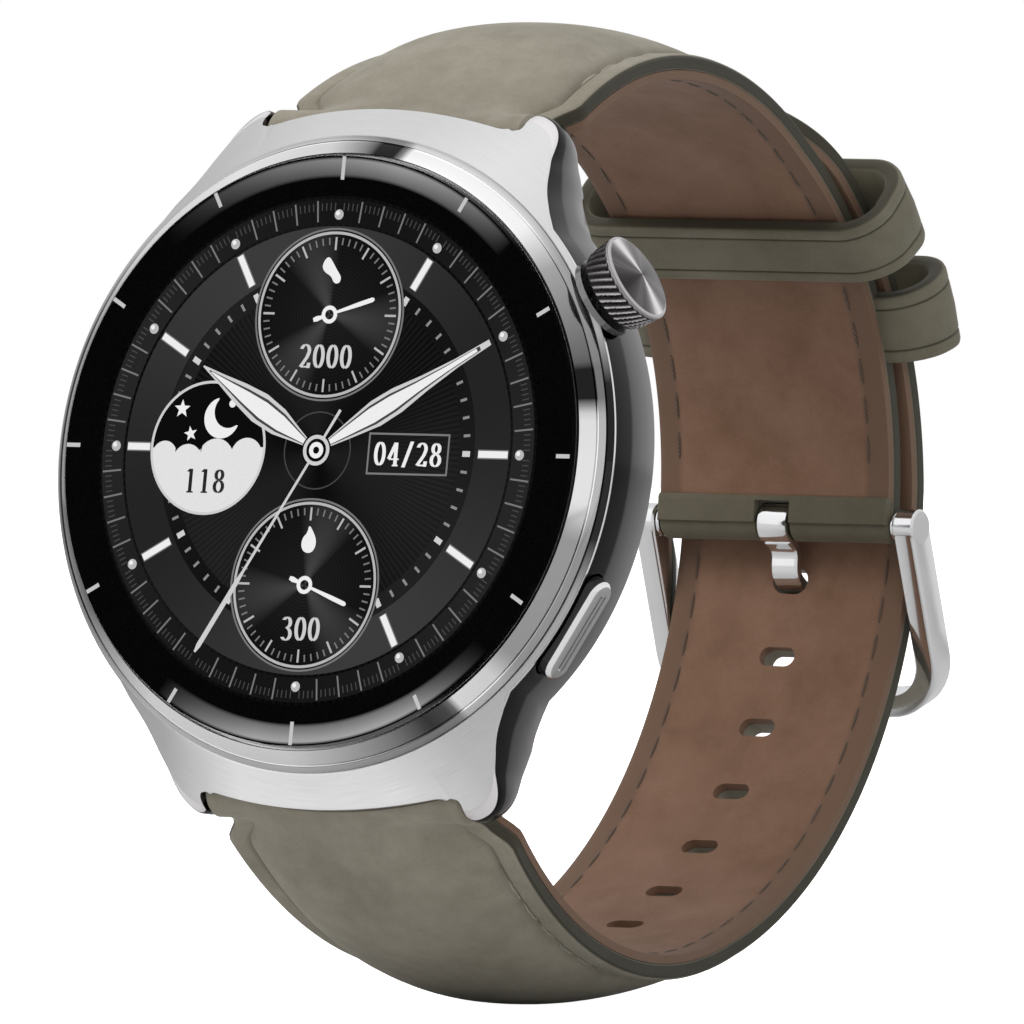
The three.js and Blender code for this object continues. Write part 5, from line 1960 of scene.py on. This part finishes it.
# Section of the tongue, in halves of its width and thickness.
TANG_SECTION = ((1, 0.6), (0.85, 1), (-0.85, 1), (-1, 0.6), (-1, -0.6), (-0.85, -1), (0.85, -1), (1, -0.6))

# Section of the ring round the pin, as (place along the pin, radius).
TANG_RING = (
    (-1.28, 1.28), (-1.2, 1.46), (-0.9, 1.5), (0.9, 1.5),
    (1.2, 1.46), (1.28, 1.28), (1.28, 0.74), (-1.28, 0.74),
)

# Middle line of the tongue from the pin to the strap's far side, as (depth, height) from the pin.
TANG_LINE = [(-0.2, -1.15), (0.7, -1.5), (1.15, -2.1), (1.22, -3.0), (1.4, -3.6), (2.2, -4.1), (3.2, -4.4)]


def tang(pin, along, aside, steel):
    """A flat steel tongue: a ring round the pin, a neck down inside the strap and a tip on the bar."""
    rest = (FRAME_THICKNESS + 0.9) / 2 + 0.12
    line = [pin + np.array(v) for v in TANG_LINE]
    for distance in (6.4, 8.0, 9.5, 11.5, 12.9, 13.3):
        line.append(pin + along * distance + aside * rest)
    line = chaikin([tuple(p) for p in line], 2)
    outlines = []
    count = len(line)
    for i, (y, z) in enumerate(line):
        heading = heading_at(line, i)
        normal = np.array([-heading[1], heading[0]])
        end = 0.75 if i >= count - 2 else 1.0
        half_x = 1.12 * end
        half_t = 0.45 * end
        ring = []
        for u, v in TANG_SECTION:
            py, pz = np.array([y, z]) + normal * (v * half_t)
            ring.append((u * half_x, py, pz))
        outlines.append(ring)
    tongue = skin("tang_tongue", outlines, steel, sharp=40)
    steps = 48
    rings = []
    for x, r in TANG_RING:
        rings.append([(x, *spot(pin, 2 * math.pi * k / steps, r)) for k in range(steps)])
    ring = skin("tang_ring", rings, steel, endless=True, sharp=40)
    whole = join_objects("buckle_tongue", [tongue, ring])
    fit(whole, "tang", "buckle_tang")


# ---- CAD nodes that stay -----------------------------------------------------------------------


def dress_nodes(nodes, materials):
    """Materials and soft edges for the CAD nodes that are shown as they are."""
    finishes = {
        "glass_seal": "rubber", "rear_seal": "rubber", "crown_o_ring": "rubber", "button_seal": "rubber",
        "display_panel": "panel", "inner_chassis": "plastic", "main_board": "board", "battery": "foil",
        "vibration_motor": "dark", "speaker_module": "plastic", "microphone": "foil",
        "heart_rate_sensor": "board", "charging_coil": "copper", "rear_cover": "ceramic",
        "sensor_window": "tinted", "crown_stem": "polished", "crown_slide_plate": "polished",
        "crown_tube": "dark", "crown_encoder": "plastic", "button_plunger": "polished",
        "button_switch": "plastic", "upper_bar_tube": "polished", "lower_bar_tube": "polished",
        "upper_release_pin": "polished", "lower_release_pin": "polished",
        "upper_bar_spring": "polished", "lower_bar_spring": "polished",
    }
    for i in range(1, 5):
        finishes["rear_screw_" + str(i)] = "dark"
    for name, finish in finishes.items():
        node = nodes[name]
        node.data.materials.clear()
        node.data.materials.append(materials[finish])
        for polygon in node.data.polygons:
            polygon.use_smooth = True
            polygon.material_index = 0
        node.data.set_sharp_from_angle(angle=30 * DEG)
        bevel = node.modifiers.new("soft_edges", "BEVEL")
        bevel.width = 0.00006
        bevel.segments = 2
        bevel.limit_method = "ANGLE"
        bevel.angle_limit = 35 * DEG


# ---- Stage -------------------------------------------------------------------------------------


def soft_box(name, place, target, size, power):
    light = bpy.data.lights.new(name, "AREA")
    light.shape = "RECTANGLE"
    light.size, light.size_y = size
    light.energy = power
    obj = bpy.data.objects.new(name, light)
    obj.visible_glossy = False
    obj.location = place
    direction = Vector(target) - Vector(place)
    obj.rotation_euler = direction.to_track_quat("-Z", "Y").to_euler()
    bpy.context.scene.collection.objects.link(obj)


def studio_world():
    """A pale room: even light for soft surfaces, and lighter and darker zones for steel to mirror."""
    world = bpy.data.worlds.new("studio")
    bpy.context.scene.world = world
    world.use_nodes = True
    tree = world.node_tree
    tree.nodes.clear()

    def add(kind, **settings):
        node = tree.nodes.new(kind)
        for key, value in settings.items():
            setattr(node, key, value)
        return node

    def maths(operation, *values):
        node = add("ShaderNodeMath", operation=operation)
        for i, value in enumerate(values):
            if hasattr(value, "links"):
                tree.links.new(value, node.inputs[i])
            else:
                node.inputs[i].default_value = value
        return node.outputs[0]

    place = add("ShaderNodeTexCoord").outputs["Generated"]

    def lobe(direction, inner, outer):
        """1 within a cone about a direction, falling to 0 outside it; angles in degrees."""
        dot = add("ShaderNodeVectorMath", operation="DOT_PRODUCT")
        tree.links.new(place, dot.inputs[0])
        dot.inputs[1].default_value = Vector(direction).normalized()
        node = add("ShaderNodeMapRange", interpolation_type="SMOOTHSTEP")
        tree.links.new(dot.outputs["Value"], node.inputs[0])
        node.inputs[1].default_value = math.cos(outer * DEG)
        node.inputs[2].default_value = math.cos(inner * DEG)
        return node.outputs[0]

    level = 0.8
    for direction, inner, outer, gain in STUDIO_LOBES:
        level = maths("ADD", level, maths("MULTIPLY", lobe(direction, inner, outer), gain))
    level = maths("MAXIMUM", level, 0.03)
    mirrored = add("ShaderNodeBackground")
    tree.links.new(level, mirrored.inputs["Strength"])
    backdrop = add("ShaderNodeBackground")
    backdrop.inputs["Strength"].default_value = 1.0
    even = add("ShaderNodeBackground")
    even.inputs["Strength"].default_value = ROOM_LIGHT
    rays = add("ShaderNodeLightPath")
    indirect = add("ShaderNodeMixShader")
    tree.links.new(rays.outputs["Is Glossy Ray"], indirect.inputs[0])
    tree.links.new(even.outputs[0], indirect.inputs[1])
    tree.links.new(mirrored.outputs[0], indirect.inputs[2])
    blend = add("ShaderNodeMixShader")
    seen = maths("MAXIMUM", rays.outputs["Is Camera Ray"], rays.outputs["Is Transmission Ray"])
    tree.links.new(seen, blend.inputs[0])
    tree.links.new(indirect.outputs[0], blend.inputs[1])
    tree.links.new(backdrop.outputs[0], blend.inputs[2])
    for shader in (mirrored, even, backdrop):
        shader.inputs["Color"].default_value = (1, 1, 1, 1)
    output = add("ShaderNodeOutputWorld")
    tree.links.new(blend.outputs[0], output.inputs["Surface"])


# Even light of the room on soft surfaces.
ROOM_LIGHT = 0.42

# Light and dark zones of the room: direction, inner and outer angle in degrees, gain.
STUDIO_LOBES = [
    ((-0.5, -0.75, 0.55), 20, 60, 0.3),
    ((0.0, -0.2, 1.0), 10, 50, 0.15),
    ((-0.9, -0.3, -0.2), 10, 45, -0.35),
    ((0.3, -0.8, -0.6), 5, 40, -0.05),
]


def stage(lowest):
    bpy.ops.mesh.primitive_plane_add(size=1.6, location=(0, 0.05, lowest))
    floor = bpy.context.object
    floor.name = "floor"
    floor.data.materials.append(pale_floor())
    studio_world()
    soft_box("key", (-0.3, -0.35, 0.5), (0, 0.02, 0), (0.35, 0.35), 1.6)
    soft_box("fill", (0.5, -0.25, 0.3), (0, 0.02, 0), (0.3, 0.3), 0.5)
    soft_box("top", (0.05, 0.1, 0.6), (0, 0.02, 0), (0.4, 0.4), 0.7)

    camera = bpy.data.cameras.new("camera")
    camera.lens = CAMERA_LENS
    camera.sensor_width = 36
    camera.clip_start = 0.05
    obj = bpy.data.objects.new("camera", camera)
    target = Vector(CAMERA_TARGET)
    away = Vector((
        math.sin(CAMERA_AZIMUTH) * math.cos(CAMERA_ELEVATION),
        -math.cos(CAMERA_AZIMUTH) * math.cos(CAMERA_ELEVATION),
        math.sin(CAMERA_ELEVATION),
    ))
    obj.location = target + away * CAMERA_DISTANCE
    obj.rotation_euler = (-away).to_track_quat("-Z", "Y").to_euler()
    bpy.context.scene.collection.objects.link(obj)
    bpy.context.scene.camera = obj
    bpy.context.scene.view_settings.view_transform = "Standard"


def make_materials():
    return {
        "case": brushed_case(),
        "bezel": bezel_steel(),
        "polished": polished_steel(),
        "buckle": polished_steel("buckle_steel", (0.8, 0.8, 0.81), 0.09),
        "crown": crown_steel(),
        "button": button_steel(),
        "dark": dark_steel(),
        "glass": clear_glass(),
        "leather": leather(
            "strap_leather_nubuck", (0.255, 0.232, 0.178), (0.36, 0.33, 0.262), (0.042, 0.038, 0.023), 0.7
        ),
        # The fold is the same outer leather, painted darker for the shade inside the loop round the pin.
        "fold": leather(
            "strap_fold_leather_shaded", (0.115, 0.102, 0.066), (0.15, 0.134, 0.09), (0.045, 0.04, 0.024), 0.5
        ),
        "keeper": leather(
            "keeper_leather", (0.15, 0.137, 0.095), (0.205, 0.188, 0.135), (0.05, 0.046, 0.028), 0.6
        ),
        "lining": leather(
            "strap_lining_leather", (0.205, 0.11, 0.065), (0.285, 0.16, 0.104), (0.19, 0.112, 0.072), 0.5
        ),
        "thread_inner": thread("thread_brown", (0.06, 0.035, 0.02), (0.14, 0.09, 0.06)),
        "thread_outer": thread("thread_olive", (0.28, 0.26, 0.2), (0.46, 0.43, 0.35)),
        "rubber": grained("seal_rubber", (0.008, 0.008, 0.008), (0.016, 0.016, 0.016), 0.6),
        "plastic": grained("chassis_plastic", (0.012, 0.012, 0.013), (0.022, 0.022, 0.024), 0.45),
        "foil": grained("cell_foil", (0.32, 0.33, 0.35), (0.42, 0.43, 0.45), 0.3, 0.8, 0.7, 0.03),
        "ceramic": grained(
            "rear_shell", (0.006, 0.006, 0.007), (0.011, 0.011, 0.012), 0.16, 1.2, 0.0, 0.004, 0.4
        ),
        "tinted": grained(
            "sensor_glass", (0.004, 0.004, 0.005), (0.009, 0.009, 0.01), 0.04, 0.6, 0.0, 0.002, 0.8
        ),
        "panel": grained("display_panel", (0.004, 0.004, 0.005), (0.008, 0.008, 0.009), 0.3, 2.0),
        "board": board_material(),
        "copper": copper_winding(),
        "white": lit("lit_white", 0.86),
        "pale": lit("lit_pale", 0.48),
        "silver": lit("lit_silver", 0.62),
        "track_mark": lit("lit_track_mark", 0.26),
        "mid": lit("lit_mid", 0.19),
        "dim": lit("lit_dim", 0.06),
        "black": lit("lit_black", 0.004),
        "cloud": lit("lit_cloud", 0.76),
        "ink": lit("lit_ink", 0.02),
        "frame_line": lit("lit_frame", 0.2),
        "edge_mark": lit("lit_edge_mark", 0.55),
        "ground": dial_ground(),
        "border": black_border(),
        "track": dial_band("dial_track", 0.006, 0.018, 2.0, 0.4),
        "ring": dial_band("dial_ring", 0.016, 0.042, 2.0, 2.4),
        "inner": dial_band("dial_inner", 0.005, 0.014, 2.0, 1.4),
        "dial_a": small_dial("dial_a", (0, 9.9), 0.4),
        "dial_b": small_dial("dial_b", (0, -9.8), 2.5),
        "keeper_edge": None,
    }


def main():
    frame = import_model()
    make_axes("watch", WATCH)
    make_axes("crown", side_matrix(CROWN_ANGLE, CROWN_DEPTH) @ Matrix.Translation((0, CROWN_FOOT, 0)))
    make_axes("button", side_matrix(BUTTON_ANGLE, BUTTON_DEPTH))
    materials = make_materials()
    dress_nodes(frame["nodes"], materials)
    case(materials)
    glass(materials)
    crown(materials)
    button(materials)
    picture(materials)
    upper = upper_path()
    upper_strap(upper, materials)
    lower_strap(lower_path(upper), materials)
    keeper("floating_loop", "keeper", FLOATING_KEEPER, materials["keeper"], "floating_keeper")
    keeper("fixed_loop", MAIN, FIXED_KEEPER, materials["keeper"], "fixed_keeper")
    buckle(upper, materials)
    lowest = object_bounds()[0][2]
    stage(lowest)


main()
